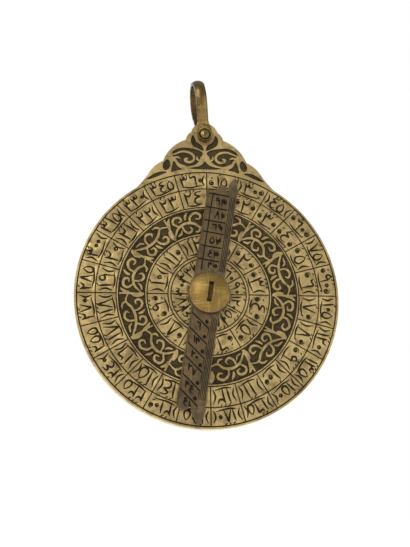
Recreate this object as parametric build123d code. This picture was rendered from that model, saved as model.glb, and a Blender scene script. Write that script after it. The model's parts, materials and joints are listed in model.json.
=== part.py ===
"""Pocket astrolabe, hung from its shackle: sizes in millimetres, +Z up, the alidade side towards -Y.

The origin is the point where the instrument hangs, on the inside of the shackle's arch, in its middle plane.
"""
from build123d import *
from math import asin, atan2, cos, degrees, hypot, radians, sin, sqrt, tan
import os

os.makedirs("parts", exist_ok=True)

# Mater: a flat plate and a limb that make the well for the plates
disc_radius = 39.8
limb_width = 5.8
plate_thickness = 0.9
tympan_count = 4
tympan_thickness = 0.35
tympan_edge_gap = 0.15
rete_thickness = 0.7
rete_edge_gap = 0.3
rete_recess = 0.1
running_gap = 0.05

# Tenon at the top of each tympan, and its notch in the limb
tenon_width = 2.8
tenon_length = 1.4
tenon_gap = 0.1

# Throne: an ear round the rivet, and scalloped shoulders down to the disc
rivet_height = 51.5
ear_radius = 4.4
ear_end_angle = 15.0
throne_half_width = 21.4

# Corners of a shoulder between the ear and the foot: share of the way down, and offset from the straight line
shoulder_corners = [(0.12, -0.5), (0.52, -0.05), (0.78, 0.35)]
# How far each stretch of a shoulder stands out from its chord: ear side, upper lobe, lower lobe, foot
shoulder_bulges = [0.35, 1.15, 0.55, -0.12]

# Shackle: a pear-shaped loop of half-round strap with an eye at each end
shackle_lean = 6.5
strap_width = 3.35
strap_thickness = 1.5
strap_shoulder = 0.95
loop_width = 12.6
loop_height = 18.4
loop_neck = 3.6
neck_bend_reach = 0.8
belly_bend_reach = 1.8
arch_flat = 0.2
eye_radius = 2.35
eye_flare_height = 4.5
eye_thickness = 1.3
eye_gap = 0.3
eye_recess_radius = 1.8
eye_recess_depth = 0.35

# Shackle rivet and its burr
rivet_radius = 1.0
rivet_head_radius = 1.45
rivet_head_height = 0.6
rivet_head_chamfer = 0.25
rivet_tail_radius = 1.3
rivet_tail_height = 0.35
burr_radius = 1.65
burr_thickness = 0.3
close_gap = 0.02

# Alidade: a rule with a bevel on its right, a small chamfer on its left and two forked ends
alidade_angle = 10.1
alidade_thickness = 1.4
alidade_right = 3.95
bevel_width = 2.5
bevel_edge_thickness = 0.35
left_chamfer = 0.5
hub_radius = 6.4
rule_length = 32.6
notch_depth = 0.5
pointer_inner_bow = 0.55
pointer_shoulder_drop = 2.2
pointer_shoulder_out = 0.9
barb_out = 0.35
barb_length = 1.2
barb_hollow = 0.15
pointer_outer_hollow = 0.25

# The rule's two ends: offsets to the left and right of its centre line, and rises above the rule's length
upper_end = {
    "left": 5.3,
    "lobe_left": 2.4,
    "lobe_right": 0.4,
    "lobe_rise": 2.2,
    "notch_rise": 0.3,
    "pointer_inner": 0.8,
    "pointer_tip": 2.7,
    "pointer_rise": 5.6,
    "barb_rise": 1.4,
}
lower_end = {
    "left": 4.5,
    "lobe_left": 4.2,
    "lobe_right": -0.7,
    "lobe_rise": 2.7,
    "notch_rise": 0.6,
    "pointer_inner": -0.25,
    "pointer_tip": 2.8,
    "pointer_rise": 6.5,
    "barb_rise": 1.7,
}

# Centre pin, its wedge and the collar under the wedge
pin_radius = 2.0
pin_head_radius = 6.1
pin_head_foot = 5.6
pin_head_rim = 0.9
pin_head_dome = 1.9
driver_slot_width = 1.4
driver_slot_length = 6.2
driver_slot_depth = 1.6
wedge_slot_width = 1.2
wedge_slot_height = 1.7
pin_end_length = 1.2
pin_end_chamfer = 0.5
collar_radius = 4.2
collar_thickness = 0.5
wedge_tail = 7.0
wedge_nose = 6.0
wedge_taper = 0.06
wedge_head_height = 4.3
wedge_head_length = 3.6
wedge_neck = 1.6

# Rete: rings and bars of the star map
obliquity = 23.44
tropic_margin = 1.0
outer_ring_width = 2.2
ecliptic_ring_width = 2.6
thin_ring_width = 1.5
bar_width = 1.9
rete_hub_radius = 5.2
pointer_base = 1.9
claw_bow = 0.13
claw_belly = 0.06
leaf_swell = 1.0
knob_angle = 20.0
knob_radius = 1.1
knob_height = 2.0
knob_neck_radius = 0.65
knob_foot_height = 0.25
knob_neck_level = 0.75
knob_cap_level = 1.3
knob_top_radius = 0.55

# How far round its carrier each star pointer's root stands from its star, in degrees
pointer_swing = {"outer": 11.0, "ecliptic": 14.0, "cancer": 22.0, "hub": 25.0}

# Leaf struts of the rete, by the angles of their two ends from the upright and their bow
ecliptic_leaf = (38.0, 40.0, 1.2)
hub_leaf = (45.0, 62.0, -0.8)
lower_leaves = [(28.0, 38.0, -1.0), (62.0, 72.0, -1.0)]

# Levels along Y, from the engraved face to the limb's face
well_depth = tympan_count * tympan_thickness + running_gap + rete_thickness + rete_recess
mater_thickness = plate_thickness + well_depth
face_y = -mater_thickness / 2
floor_y = face_y + plate_thickness
limb_y = mater_thickness / 2
rete_top_y = limb_y - rete_recess
rete_bottom_y = rete_top_y - rete_thickness
alidade_bottom_y = face_y - running_gap
alidade_top_y = alidade_bottom_y - alidade_thickness
head_y = alidade_top_y - running_gap
collar_y = rete_top_y + running_gap
wedge_y = collar_y + collar_thickness

# How far the rule reaches from the pivot at its longer end
rule_reach = rule_length + max(upper_end["pointer_rise"], lower_end["pointer_rise"])

# Radii that follow from the sizes above
limb_inner_radius = disc_radius - limb_width
tympan_radius = limb_inner_radius - tympan_edge_gap
rete_radius = limb_inner_radius - rete_edge_gap
pin_hole_radius = pin_radius + running_gap
rivet_hole_radius = rivet_radius + running_gap

# Places: the rivet hangs below the origin along the leaning shackle, the disc plumb below the rivet
strap_inner = strap_thickness / 2
hang_length = loop_height - strap_inner
rivet_at = (hang_length * sin(radians(shackle_lean)), -hang_length * cos(radians(shackle_lean)))
disc_place = Pos(rivet_at[0], 0, rivet_at[1] - rivet_height)
shackle_place = Pos(rivet_at[0], 0, rivet_at[1]) * Rot(0, -shackle_lean, 0)
alidade_place = disc_place * Rot(0, alidade_angle, 0)


def slab(outline, y_low, y_high):
    """Extrudes an outline drawn as (x, z) between two levels of Y."""
    return Pos(0, y_high, 0) * extrude(Plane.XZ * outline, y_high - y_low)


def turned(profile):
    """Turns a profile drawn as (radius, y) about the Y axis."""
    return revolve(profile, Axis.Y)


def rod(radius, y_low, y_high):
    """A round rod or hole along Y."""
    return slab(Circle(radius), y_low, y_high)


def outline_of(*edges):
    """A face inside a closed run of edges."""
    return make_face(Wire(list(edges)))


def arc_by_bulge(start, end, bulge):
    """An arc that stands out to the left of the way by the bulge; straight if it has none."""
    if abs(bulge) < 0.001:
        return line(start, end)
    run_x = end[0] - start[0]
    run_z = end[1] - start[1]
    length = hypot(run_x, run_z)
    middle = (
        (start[0] + end[0]) / 2 - run_z / length * bulge,
        (start[1] + end[1]) / 2 + run_x / length * bulge,
    )
    return Edge.make_three_point_arc(Vector(*start), Vector(*middle), Vector(*end))


def line(start, end):
    """A straight edge between two points."""
    return Edge.make_line(Vector(*start), Vector(*end))


def dome(radius, height, level):
    """The arc of a dome from its rim to its top on the axis, rising towards -Y."""
    curve_radius = (radius**2 + height**2) / (2 * height)
    half_angle = asin(radius / curve_radius) / 2
    middle = (curve_radius * sin(half_angle), level - height + curve_radius * (1 - cos(half_angle)))
    return Edge.make_three_point_arc(Vector(radius, level), Vector(*middle), Vector(0, level - height))


# Mater

def throne_side():
    """Corner points of the right shoulder, from the ear down to the disc."""
    top = (
        ear_radius * cos(radians(ear_end_angle)),
        rivet_height + ear_radius * sin(radians(ear_end_angle)),
    )
    foot = (throne_half_width, sqrt(disc_radius**2 - throne_half_width**2))
    run_x = foot[0] - top[0]
    run_z = foot[1] - top[1]
    length = hypot(run_x, run_z)

    def corner(share, offset):
        """A point at a share of the way down, set out from the straight line."""
        x = top[0] + run_x * share - run_z / length * offset
        z = top[1] + run_z * share + run_x / length * offset
        return (x, z)

    return [top, *(corner(share, offset) for share, offset in shoulder_corners), foot]


def throne_outline():
    """The throne, from inside the disc up to the ear round the rivet."""
    corners = throne_side()
    mirrored = [(-x, z) for x, z in corners]
    right = [arc_by_bulge(a, b, bulge) for a, b, bulge in zip(corners, corners[1:], shoulder_bulges)]
    left = [arc_by_bulge(b, a, bulge) for a, b, bulge in zip(mirrored, mirrored[1:], shoulder_bulges)]
    foot = line(corners[-1], mirrored[-1])
    head = line(mirrored[0], corners[0])
    shoulders = outline_of(*right, foot, *reversed(left), head)
    return shoulders + Pos(0, rivet_height) * Circle(ear_radius)


def mater_outline():
    """The disc with its throne, less the hole for the shackle rivet."""
    return Circle(disc_radius) + throne_outline() - Pos(0, rivet_height) * Circle(rivet_hole_radius)


def make_mater_plate():
    """The flat back plate, whose outer face is engraved."""
    return slab(mater_outline() - Circle(pin_hole_radius), face_y, floor_y)


def make_limb():
    """The raised rim with the second layer of the throne, and the notch for the tenons."""
    notch_height = tenon_length + tenon_gap + tympan_edge_gap
    notch = Pos(0, limb_inner_radius) * Rectangle(tenon_width + 2 * tenon_gap, 2 * notch_height)
    return slab(mater_outline() - Circle(limb_inner_radius) - notch, floor_y, limb_y)


def make_tympan(index):
    """One latitude plate with its tenon, counted from the floor of the well."""
    tenon = Pos(0, tympan_radius) * Rectangle(tenon_width, 2 * tenon_length)
    y_low = floor_y + index * tympan_thickness
    return slab(Circle(tympan_radius) + tenon - Circle(pin_hole_radius), y_low, y_low + tympan_thickness)


# Rete

tropic_radius = limb_inner_radius - tropic_margin
equator_radius = tropic_radius * tan(radians(90 - obliquity) / 2)
cancer_radius = equator_radius * tan(radians(90 - obliquity) / 2)
ecliptic_radius = (tropic_radius + cancer_radius) / 2
ecliptic_height = (tropic_radius - cancer_radius) / 2

# Star pointers: right ascension in hours, declination in degrees, and the part of the rete that carries each
stars = [
    (0.73, -18.0, "outer"),
    (1.16, 35.6, "ecliptic"),
    (3.04, 4.1, "ecliptic"),
    (4.60, 16.5, "hub"),
    (5.24, -8.2, "ecliptic"),
    (6.75, -16.7, "outer"),
    (7.66, 5.2, "ecliptic"),
    (9.46, -8.7, "outer"),
    (10.14, 12.0, "hub"),
    (12.26, -17.5, "outer"),
    (13.42, -11.2, "outer"),
    (14.26, 19.2, "ecliptic"),
    (15.58, 26.7, "hub"),
    (17.58, 12.6, "cancer"),
    (18.62, 38.8, "cancer"),
    (19.85, 8.9, "cancer"),
    (20.69, 45.3, "hub"),
    (23.08, 15.2, "ecliptic"),
]


def on_circle(radius, angle, height=0.0):
    """A point on a circle about the centre, or about a point above it; the angle is in degrees."""
    return (radius * cos(radians(angle)), height + radius * sin(radians(angle)))


def band(radius_outer, width, height=0.0):
    """A flat ring, centred at a height above the pivot."""
    return Pos(0, height) * (Circle(radius_outer) - Circle(radius_outer - width))


def star_place(right_ascension, declination):
    """Where a star falls on the map, seen with the winter solstice at the top."""
    radius = equator_radius * tan(radians(90 - declination) / 2)
    return on_circle(radius, 90 - (right_ascension - 18) * 15)


def claw(base, tip, side):
    """A curved pointer from a base point to its sharp tip, bowed to one side."""
    run_x = tip[0] - base[0]
    run_z = tip[1] - base[1]
    length = hypot(run_x, run_z)
    across = (-run_z / length * pointer_base / 2, run_x / length * pointer_base / 2)
    left_foot = (base[0] + across[0], base[1] + across[1])
    right_foot = (base[0] - across[0], base[1] - across[1])
    bow = claw_bow * length * side
    belly = claw_belly * length
    return outline_of(
        arc_by_bulge(left_foot, tip, belly + bow),
        arc_by_bulge(tip, right_foot, belly - bow),
        line(right_foot, left_foot),
    )


def pointer(right_ascension, declination, carrier, side):
    """One star pointer, from the middle of the band that carries it to the star."""
    tip = star_place(right_ascension, declination)
    swing = pointer_swing[carrier] * side
    angle = degrees(atan2(tip[1], tip[0])) + swing
    if carrier == "outer":
        base = on_circle(rete_radius - outer_ring_width / 2, angle)
    elif carrier == "ecliptic":
        around = degrees(atan2(tip[1] - ecliptic_height, tip[0])) + swing
        base = on_circle(ecliptic_radius - ecliptic_ring_width / 2, around, ecliptic_height)
    elif carrier == "cancer":
        base = on_circle(cancer_radius, angle)
    else:
        base = on_circle(rete_hub_radius - pointer_base / 2, angle)
    return claw(base, tip, side)


def leaf_strut(start, end, bulge):
    """A curved strut that swells to a leaf in its middle."""
    return outline_of(
        arc_by_bulge(start, end, leaf_swell + bulge),
        arc_by_bulge(end, start, leaf_swell - bulge),
    )


def rete_outline():
    """The pierced star map: rings, bars, tracery and star pointers."""
    middle = rete_radius - outer_ring_width / 2
    rings = band(rete_radius, outer_ring_width)
    rings += band(ecliptic_radius, ecliptic_ring_width, ecliptic_height)
    lower_half = Pos(0, -rete_radius) * Rectangle(2 * rete_radius, 2 * rete_radius)
    rings += band(equator_radius + thin_ring_width / 2, thin_ring_width) & lower_half
    inside_ecliptic = Pos(0, ecliptic_height) * Circle(ecliptic_radius - ecliptic_ring_width / 2)
    rings += (band(cancer_radius + thin_ring_width / 2, thin_ring_width) & inside_ecliptic) - lower_half
    bars = Rectangle(2 * middle, bar_width) + Rectangle(bar_width, 2 * middle)
    tracery = []
    for side in (-1, 1):
        low, high, bow = ecliptic_leaf
        start = on_circle(cancer_radius, 90 - high * side)
        end = on_circle(ecliptic_radius - ecliptic_ring_width / 2, 90 - low * side, ecliptic_height)
        tracery.append(leaf_strut(start, end, bow * side))
        low, high, bow = hub_leaf
        start = on_circle(rete_hub_radius - bar_width / 2, 90 - low * side)
        tracery.append(leaf_strut(start, on_circle(cancer_radius, 90 - high * side), bow * side))
        for low, high, bow in lower_leaves:
            start = on_circle(equator_radius, -90 + low * side)
            tracery.append(leaf_strut(start, on_circle(middle, -90 + high * side), bow * side))
    pointers = [pointer(*star, 1 if i % 2 else -1) for i, star in enumerate(stars)]
    body = rings + bars + tracery + pointers + Circle(rete_hub_radius)
    return mirror(body, Plane.YZ) - Circle(pin_hole_radius)


def make_rete():
    """The star map, turning in the well just above the top plate."""
    return slab(rete_outline(), rete_bottom_y, rete_top_y)


def make_rete_knobs():
    """Two small turned knobs, riveted into the rete's outer ring."""
    profile = outline_of(
        line((0, 0), (knob_radius, 0)),
        line((knob_radius, 0), (knob_radius, knob_foot_height)),
        line((knob_radius, knob_foot_height), (knob_neck_radius, knob_neck_level)),
        line((knob_neck_radius, knob_neck_level), (knob_radius, knob_cap_level)),
        line((knob_radius, knob_cap_level), (knob_top_radius, knob_height)),
        line((knob_top_radius, knob_height), (0, knob_height)),
        line((0, knob_height), (0, 0)),
    )
    knob = turned(profile)
    middle = rete_radius - outer_ring_width / 2
    across, down = on_circle(middle, knob_angle)
    return [Pos(side * across, rete_top_y, -down) * knob for side in (-1, 1)]


# Alidade

def end_outline(end):
    """Half of the rule, above the middle: its forked end has a lobe, a notch and a barbed pointer."""
    left = -end["left"]
    notch_level = rule_length + end["notch_rise"]
    barb_level = rule_length + end["barb_rise"]
    pointer_level = rule_length + end["pointer_rise"]
    lobe_foot = (-end["lobe_left"], rule_length)
    lobe_top = ((end["lobe_right"] - end["lobe_left"]) / 2, rule_length + end["lobe_rise"])
    lobe_end = (end["lobe_right"], notch_level + notch_depth)
    notch = (end["lobe_right"], notch_level)
    pointer_root = (end["pointer_inner"], notch_level)
    tip = (end["pointer_tip"], pointer_level)
    shoulder = (end["pointer_tip"] + pointer_shoulder_out, pointer_level - pointer_shoulder_drop)
    barb = (alidade_right + barb_out, barb_level)
    barb_foot = (alidade_right, barb_level - barb_length)
    return outline_of(
        line((left, 0), (left, rule_length)),
        line((left, rule_length), lobe_foot),
        Edge.make_three_point_arc(Vector(*lobe_foot), Vector(*lobe_top), Vector(*lobe_end)),
        line(lobe_end, notch),
        line(notch, pointer_root),
        arc_by_bulge(pointer_root, tip, pointer_inner_bow),
        line(tip, shoulder),
        arc_by_bulge(shoulder, barb, -pointer_outer_hollow),
        arc_by_bulge(barb, barb_foot, -barb_hollow),
        line(barb_foot, (alidade_right, 0)),
        line((alidade_right, 0), (left, 0)),
    )


def arm_section(end):
    """Cross-section of one arm as (x, height above the plate): chamfer, flat, bevel and thin edge."""
    left = -end["left"]
    top = alidade_thickness
    right = alidade_right + barb_out
    return Polyline(
        (left, 0),
        (left, top - left_chamfer),
        (left + left_chamfer, top),
        (alidade_right - bevel_width, top),
        (alidade_right, bevel_edge_thickness),
        (right, bevel_edge_thickness),
        (right, 0),
        close=True,
    )


def make_arm(end):
    """One arm of the rule, standing upwards on the pivot."""
    bar = extrude(Plane.XY * make_face(arm_section(end)), rule_reach)
    bar = Pos(0, alidade_bottom_y, 0) * mirror(bar, Plane.XZ)
    return bar & slab(end_outline(end), alidade_top_y, alidade_bottom_y)


def make_alidade():
    """The sighting rule, drawn upright on the pivot, its lower arm a little narrower than its upper."""
    rule = make_arm(upper_end) + mirror(make_arm(lower_end), Plane.XY)
    hub = rod(hub_radius, alidade_top_y, alidade_bottom_y)
    return rule + hub - rod(pin_hole_radius, alidade_top_y, alidade_bottom_y)


# Centre pin and wedge

def make_pin():
    """The pivot pin, with a domed head slotted for a driver and a cross slot for the wedge."""
    rim_y = head_y - pin_head_rim
    end_y = wedge_y + wedge_slot_height + pin_end_length
    profile = outline_of(
        line((0, end_y), (pin_radius - pin_end_chamfer, end_y)),
        line((pin_radius - pin_end_chamfer, end_y), (pin_radius, end_y - pin_end_chamfer)),
        line((pin_radius, end_y - pin_end_chamfer), (pin_radius, head_y)),
        line((pin_radius, head_y), (pin_head_foot, head_y)),
        line((pin_head_foot, head_y), (pin_head_radius, rim_y)),
        dome(pin_head_radius, pin_head_dome, rim_y),
        line((0, rim_y - pin_head_dome), (0, end_y)),
    )
    driver_slot = Box(driver_slot_width, 2 * driver_slot_depth, driver_slot_length)
    driver_slot = Rot(0, alidade_angle, 0) * Pos(0, rim_y - pin_head_dome, 0) * driver_slot
    cross_slot = Box(3 * pin_radius, wedge_slot_height, wedge_slot_width)
    cross_slot = Pos(0, wedge_y + wedge_slot_height / 2, 0) * cross_slot
    return turned(profile) - driver_slot - cross_slot


def make_horse_washer():
    """The collar between the rete and the wedge."""
    return rod(collar_radius, collar_y, wedge_y) - rod(pin_hole_radius, collar_y, wedge_y)


def make_horse():
    """The tapered wedge, with its upright head outside the pin."""
    low = wedge_y + running_gap
    thick = wedge_slot_height - 2 * running_gap

    def top_at(x):
        """Level of the sloping top face."""
        return low + thick - (pin_radius - x) * wedge_taper

    def head_point(along, up):
        """A point of the horse's head, as shares of its length and height from the foot of its breast."""
        return (wedge_nose + along * wedge_head_length, low + up * wedge_head_height)

    breast = head_point(0.8, 0)
    chin = head_point(1, 0.2)
    brow = head_point(0.85, 0.7)
    poll = head_point(0.4, 0.95)
    neck = (wedge_nose - wedge_neck, top_at(wedge_nose - wedge_neck))
    tail_low = (-wedge_tail, low)
    tail_top = (-wedge_tail, top_at(-wedge_tail))
    profile = outline_of(
        line(tail_low, breast),
        arc_by_bulge(breast, chin, -0.2),
        arc_by_bulge(chin, brow, 0.25),
        arc_by_bulge(brow, poll, -0.6),
        arc_by_bulge(poll, neck, 0.5),
        line(neck, tail_top),
        line(tail_top, tail_low),
    )
    return extrude(Plane.XY * profile, wedge_slot_width / 2 - running_gap, both=True)


# Shackle and rivet, drawn upright about the rivet

def make_shackle():
    """A pear-shaped loop of half-round strap that straddles the throne, with a dished eye at each end."""
    eye_inner = mater_thickness / 2 + eye_gap
    neck = eye_inner + strap_inner
    belly = loop_width / 2
    arch_radius = belly - arch_flat
    bend_level = loop_height - belly - belly_bend_reach
    points = [(neck, 0), (neck, loop_neck), (belly, bend_level), (belly, loop_height), (0, loop_height)]
    half_turn = atan2(belly - neck, bend_level - loop_neck) / 2
    half = FilletPolyline(
        *[Vector(0, y, z) for y, z in points],
        radius=[neck_bend_reach / tan(half_turn), belly_bend_reach / tan(half_turn), arch_radius],
    )
    half_width = strap_width / 2
    crown = strap_thickness - strap_shoulder
    shoulder = strap_inner - strap_shoulder
    section = outline_of(
        line((-half_width, strap_inner), (-half_width, shoulder)),
        arc_by_bulge((-half_width, shoulder), (half_width, shoulder), -crown),
        line((half_width, shoulder), (half_width, strap_inner)),
        line((half_width, strap_inner), (-half_width, strap_inner)),
    )
    start = Plane(origin=(0, neck, 0), x_dir=(1, 0, 0), z_dir=(0, 0, 1))
    leg = sweep(start * mirror(section, Plane.XZ), half)
    loop = leg + mirror(leg, Plane.XZ)
    flare = Polyline(
        (-eye_radius, 0),
        (-half_width, eye_flare_height),
        (half_width, eye_flare_height),
        (eye_radius, 0),
        close=True,
    )
    eye = Circle(eye_radius) + make_face(flare)
    for side in (-1, 1):
        inner, outer = sorted((side * eye_inner, side * (eye_inner + eye_thickness)))
        loop += slab(eye, inner, outer)
    for side in (-1, 1):
        dish = side * (eye_inner + eye_thickness)
        inner, outer = sorted((dish - side * eye_recess_depth, dish + side * strap_thickness))
        loop -= rod(eye_recess_radius, inner, outer)
    reach = eye_inner + eye_thickness
    return loop - rod(rivet_radius + close_gap, -reach, reach)


def make_shackle_rivet():
    """The rivet, with a low button head in the front eye and its peened end over the burr at the back."""
    seat = mater_thickness / 2 + eye_gap + eye_thickness - eye_recess_depth
    tail = seat + burr_thickness
    crown = -seat - rivet_head_height
    flat = rivet_head_radius - rivet_head_chamfer
    profile = outline_of(
        line((0, crown), (0, tail + rivet_tail_height)),
        line((0, tail + rivet_tail_height), (rivet_radius, tail + rivet_tail_height)),
        line((rivet_radius, tail + rivet_tail_height), (rivet_tail_radius, tail)),
        line((rivet_tail_radius, tail), (rivet_radius, tail)),
        line((rivet_radius, tail), (rivet_radius, -seat)),
        line((rivet_radius, -seat), (rivet_head_radius, -seat)),
        line((rivet_head_radius, -seat), (rivet_head_radius, crown + rivet_head_chamfer)),
        line((rivet_head_radius, crown + rivet_head_chamfer), (flat, crown)),
        line((flat, crown), (0, crown)),
    )
    return turned(profile)


def make_rivet_burr():
    """The small washer in the back eye, under the peened end."""
    seat = mater_thickness / 2 + eye_gap + eye_thickness - eye_recess_depth
    top = seat + burr_thickness
    return rod(burr_radius, seat, top) - rod(rivet_radius + close_gap, seat, top)


def save(name, shape):
    """Writes one piece, or one group of like pieces."""
    solids = [s for item in (shape if isinstance(shape, list) else [shape]) for s in item.solids()]
    export_step(solids[0] if len(solids) == 1 else Compound(children=solids), f"parts/{name}.step")


save("mater_plate", disc_place * make_mater_plate())
save("limb", disc_place * make_limb())
for index in range(tympan_count):
    save(f"tympan_{index + 1}", disc_place * make_tympan(index))
save("rete", disc_place * make_rete())
save("rete_knobs", [disc_place * knob for knob in make_rete_knobs()])
save("alidade", alidade_place * make_alidade())
save("pin", disc_place * make_pin())
save("horse_washer", disc_place * make_horse_washer())
save("horse", disc_place * make_horse())
save("shackle", shackle_place * make_shackle())
save("shackle_rivet", shackle_place * make_shackle_rivet())
save("rivet_burr", shackle_place * make_rivet_burr())
print(f"rivet at {rivet_at[0]:.3f}, {rivet_at[1]:.3f}; disc centre z {rivet_at[1] - rivet_height:.3f}")
print(f"levels: face {face_y:.3f}, floor {floor_y:.3f}, limb {limb_y:.3f}, wedge {wedge_y:.3f}")
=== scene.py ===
"""A pocket astrolabe dressed for its picture: engraved plates, a dark rule, a domed pin and a shackle.

Lengths in this file are millimetres until a mesh is made. Each engraved face is a thin sheet drawn from
above, as x to the right and z up from the pivot, and cut with grooves and sunk grounds of real depth.
"""
import json
import logging
import math
from collections.abc import Callable
from dataclasses import dataclass, field
from enum import Enum

import bmesh
import bpy
import numpy as np
from mathutils import Matrix, Vector
from mathutils.geometry import delaunay_2d_cdt


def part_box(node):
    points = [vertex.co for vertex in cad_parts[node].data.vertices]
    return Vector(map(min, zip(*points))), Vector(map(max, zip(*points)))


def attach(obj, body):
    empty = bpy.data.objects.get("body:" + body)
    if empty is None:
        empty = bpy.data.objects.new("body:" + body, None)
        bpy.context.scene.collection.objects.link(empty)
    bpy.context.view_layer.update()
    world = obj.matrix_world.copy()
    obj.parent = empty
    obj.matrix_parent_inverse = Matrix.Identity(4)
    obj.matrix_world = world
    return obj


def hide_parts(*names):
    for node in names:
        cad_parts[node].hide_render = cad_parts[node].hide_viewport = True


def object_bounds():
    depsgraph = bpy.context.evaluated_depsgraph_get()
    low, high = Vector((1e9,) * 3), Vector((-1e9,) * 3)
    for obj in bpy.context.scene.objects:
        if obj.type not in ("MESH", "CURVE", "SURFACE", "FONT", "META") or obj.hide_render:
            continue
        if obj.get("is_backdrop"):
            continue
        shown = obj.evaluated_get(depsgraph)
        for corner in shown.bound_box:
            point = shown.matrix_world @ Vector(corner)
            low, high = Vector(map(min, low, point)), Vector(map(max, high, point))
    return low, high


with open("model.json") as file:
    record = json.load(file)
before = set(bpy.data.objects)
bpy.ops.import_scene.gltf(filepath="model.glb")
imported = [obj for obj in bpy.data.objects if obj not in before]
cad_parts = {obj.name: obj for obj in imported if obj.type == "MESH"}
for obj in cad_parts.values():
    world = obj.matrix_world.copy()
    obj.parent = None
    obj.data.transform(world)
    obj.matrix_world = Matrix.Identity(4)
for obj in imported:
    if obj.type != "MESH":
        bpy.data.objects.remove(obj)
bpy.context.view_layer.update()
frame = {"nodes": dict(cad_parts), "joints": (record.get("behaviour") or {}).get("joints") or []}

MM = 0.001
LOG = logging.getLogger("astrolabe")
Point = tuple[float, float]
Colour = tuple[float, float, float]
Socket = bpy.types.NodeSocket
Value = bpy.types.NodeSocket | float
Bend = Callable[[float, float], Point]
Heights = Callable[[np.ndarray], np.ndarray]


class Side(Enum):
    """Which way an engraved face looks along Y."""

    FRONT = -1
    BACK = 1


def pivot_point() -> Point:
    """The disc's centre as x and z in millimetres, from the rule's own joint."""
    place = next(j["pos_m"] for j in frame["joints"] if j["name"] == "alidade_turn")
    return place[0] / MM, place[2] / MM


PIVOT = pivot_point()


# Drawing

def turned_point(radius: float, angle: float) -> Point:
    """A point at a radius from the pivot, at an angle in degrees from the right, anticlockwise."""
    return radius * math.cos(math.radians(angle)), radius * math.sin(math.radians(angle))


def arc_points(
    radius: float, start: float, end: float, step: float = 2.0, centre: Point = (0.0, 0.0)
) -> list[Point]:
    """Points along an arc.

    Args:
        radius: The arc's radius.
        start: Its first angle in degrees.
        end: Its last angle in degrees.
        step: The widest angle between points.
        centre: Where its centre lies.

    Returns:
        The points, both ends included.
    """
    count = max(2, math.ceil(abs(end - start) / step) + 1)
    turned = [turned_point(radius, a) for a in np.linspace(start, end, count)]
    return [(centre[0] + x, centre[1] + z) for x, z in turned]


def smooth(points: list[Point], steps: int = 4, closed: bool = False) -> list[Point]:
    """A smooth line through control points.

    Args:
        points: The control points.
        steps: How many pieces each stretch is cut into.
        closed: Whether the line runs back to its start.

    Returns:
        The points of the smooth line.
    """
    p = np.array(points, float)
    if closed:
        around = np.vstack([p[-1], p, p[0], p[1]])
    else:
        around = np.vstack([2 * p[0] - p[1], p, 2 * p[-1] - p[-2]])
    line = []
    for a, b, c, d in zip(around, around[1:], around[2:], around[3:]):
        for t in np.arange(steps) / steps:
            square, cube = 2 * a - 5 * b + 4 * c - d, 3 * b - a - 3 * c + d
            line.append(0.5 * (2 * b + (c - a) * t + square * t**2 + cube * t**3))
    if not closed:
        line.append(p[-1])
    return [(float(x), float(z)) for x, z in line]


@dataclass
class Stroke:
    """One cut or one ridge: a line with a width that may change along it."""

    points: list[Point]
    width: float
    end_width: float | None = None
    swell: float = 0.0

    def half_widths(self) -> np.ndarray:
        """Half the width at each point, where a swell thickens the middle.

        Returns:
            One number for each point of the line.
        """
        t = np.linspace(0, 1, len(self.points))
        last = self.width if self.end_width is None else self.end_width
        return (self.width * (1 - t) + last * t) / 2 + self.swell / 2 * np.sin(math.pi * t)

    def moved(self, place: Bend) -> "Stroke":
        """The same stroke with each point put elsewhere by a function."""
        return Stroke([place(*p) for p in self.points], self.width, self.end_width, self.swell)


@dataclass
class Pocket:
    """A sunk ground inside a border, with ridges left standing in it."""

    border: list[Point]
    depth: float
    slope: float
    ridges: list[Stroke] = field(default_factory=list)


def side_lines(points: np.ndarray, half: np.ndarray, closed: bool = False) -> tuple[np.ndarray, np.ndarray]:
    """Lines at a distance to the left and right of a line.

    Args:
        points: The line's points.
        half: The distance at each point.
        closed: Whether the line runs back to its start.

    Returns:
        The left line and the right line.
    """
    if closed:
        ahead = np.roll(points, -1, 0) - points
        behind = points - np.roll(points, 1, 0)
    else:
        step = np.diff(points, axis=0)
        ahead = np.vstack([step, step[-1]])
        behind = np.vstack([step[0], step])
    ahead = ahead / np.maximum(np.linalg.norm(ahead, axis=1), 1e-9)[:, None]
    behind = behind / np.maximum(np.linalg.norm(behind, axis=1), 1e-9)[:, None]
    normal = np.c_[-(ahead + behind)[:, 1], (ahead + behind)[:, 0]]
    length = np.maximum(np.linalg.norm(normal, axis=1), 0.9)
    normal = normal / length[:, None] * np.minimum(2 / length, 1.5)[:, None]
    return points + normal * half[:, None], points - normal * half[:, None]


def clearance(points: np.ndarray, line: np.ndarray, half: np.ndarray) -> np.ndarray:
    """How far each point lies outside a line of a given half width.

    Args:
        points: The points to measure.
        line: The line's points.
        half: Half the line's width at each of them.

    Returns:
        The distance to the line less its half width there; negative inside it.
    """
    best = np.full(len(points), 1e9)
    for a, b, ha, hb in zip(line, line[1:], half, half[1:]):
        run = b - a
        t = np.clip(((points - a) @ run) / max(run @ run, 1e-12), 0, 1)
        apart = np.linalg.norm(points - a - t[:, None] * run, axis=1)
        best = np.minimum(best, apart - (ha + (hb - ha) * t))
    return best


def inside(points: np.ndarray, loops: list[np.ndarray]) -> np.ndarray:
    """Tells which points lie inside a face with holes, by counting the borders to their right.

    Args:
        points: The points to test.
        loops: The face's outline and the outlines of its holes.

    Returns:
        True for each point inside.
    """
    odd = np.zeros(len(points), bool)
    for loop in loops:
        for (x0, z0), (x1, z1) in zip(loop, np.roll(loop, -1, 0)):
            if z0 == z1:
                continue
            crosses = (points[:, 1] >= min(z0, z1)) & (points[:, 1] < max(z0, z1))
            at = x0 + (points[:, 1] - z0) * (x1 - x0) / (z1 - z0)
            odd ^= crosses & (points[:, 0] < at)
    return odd


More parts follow.
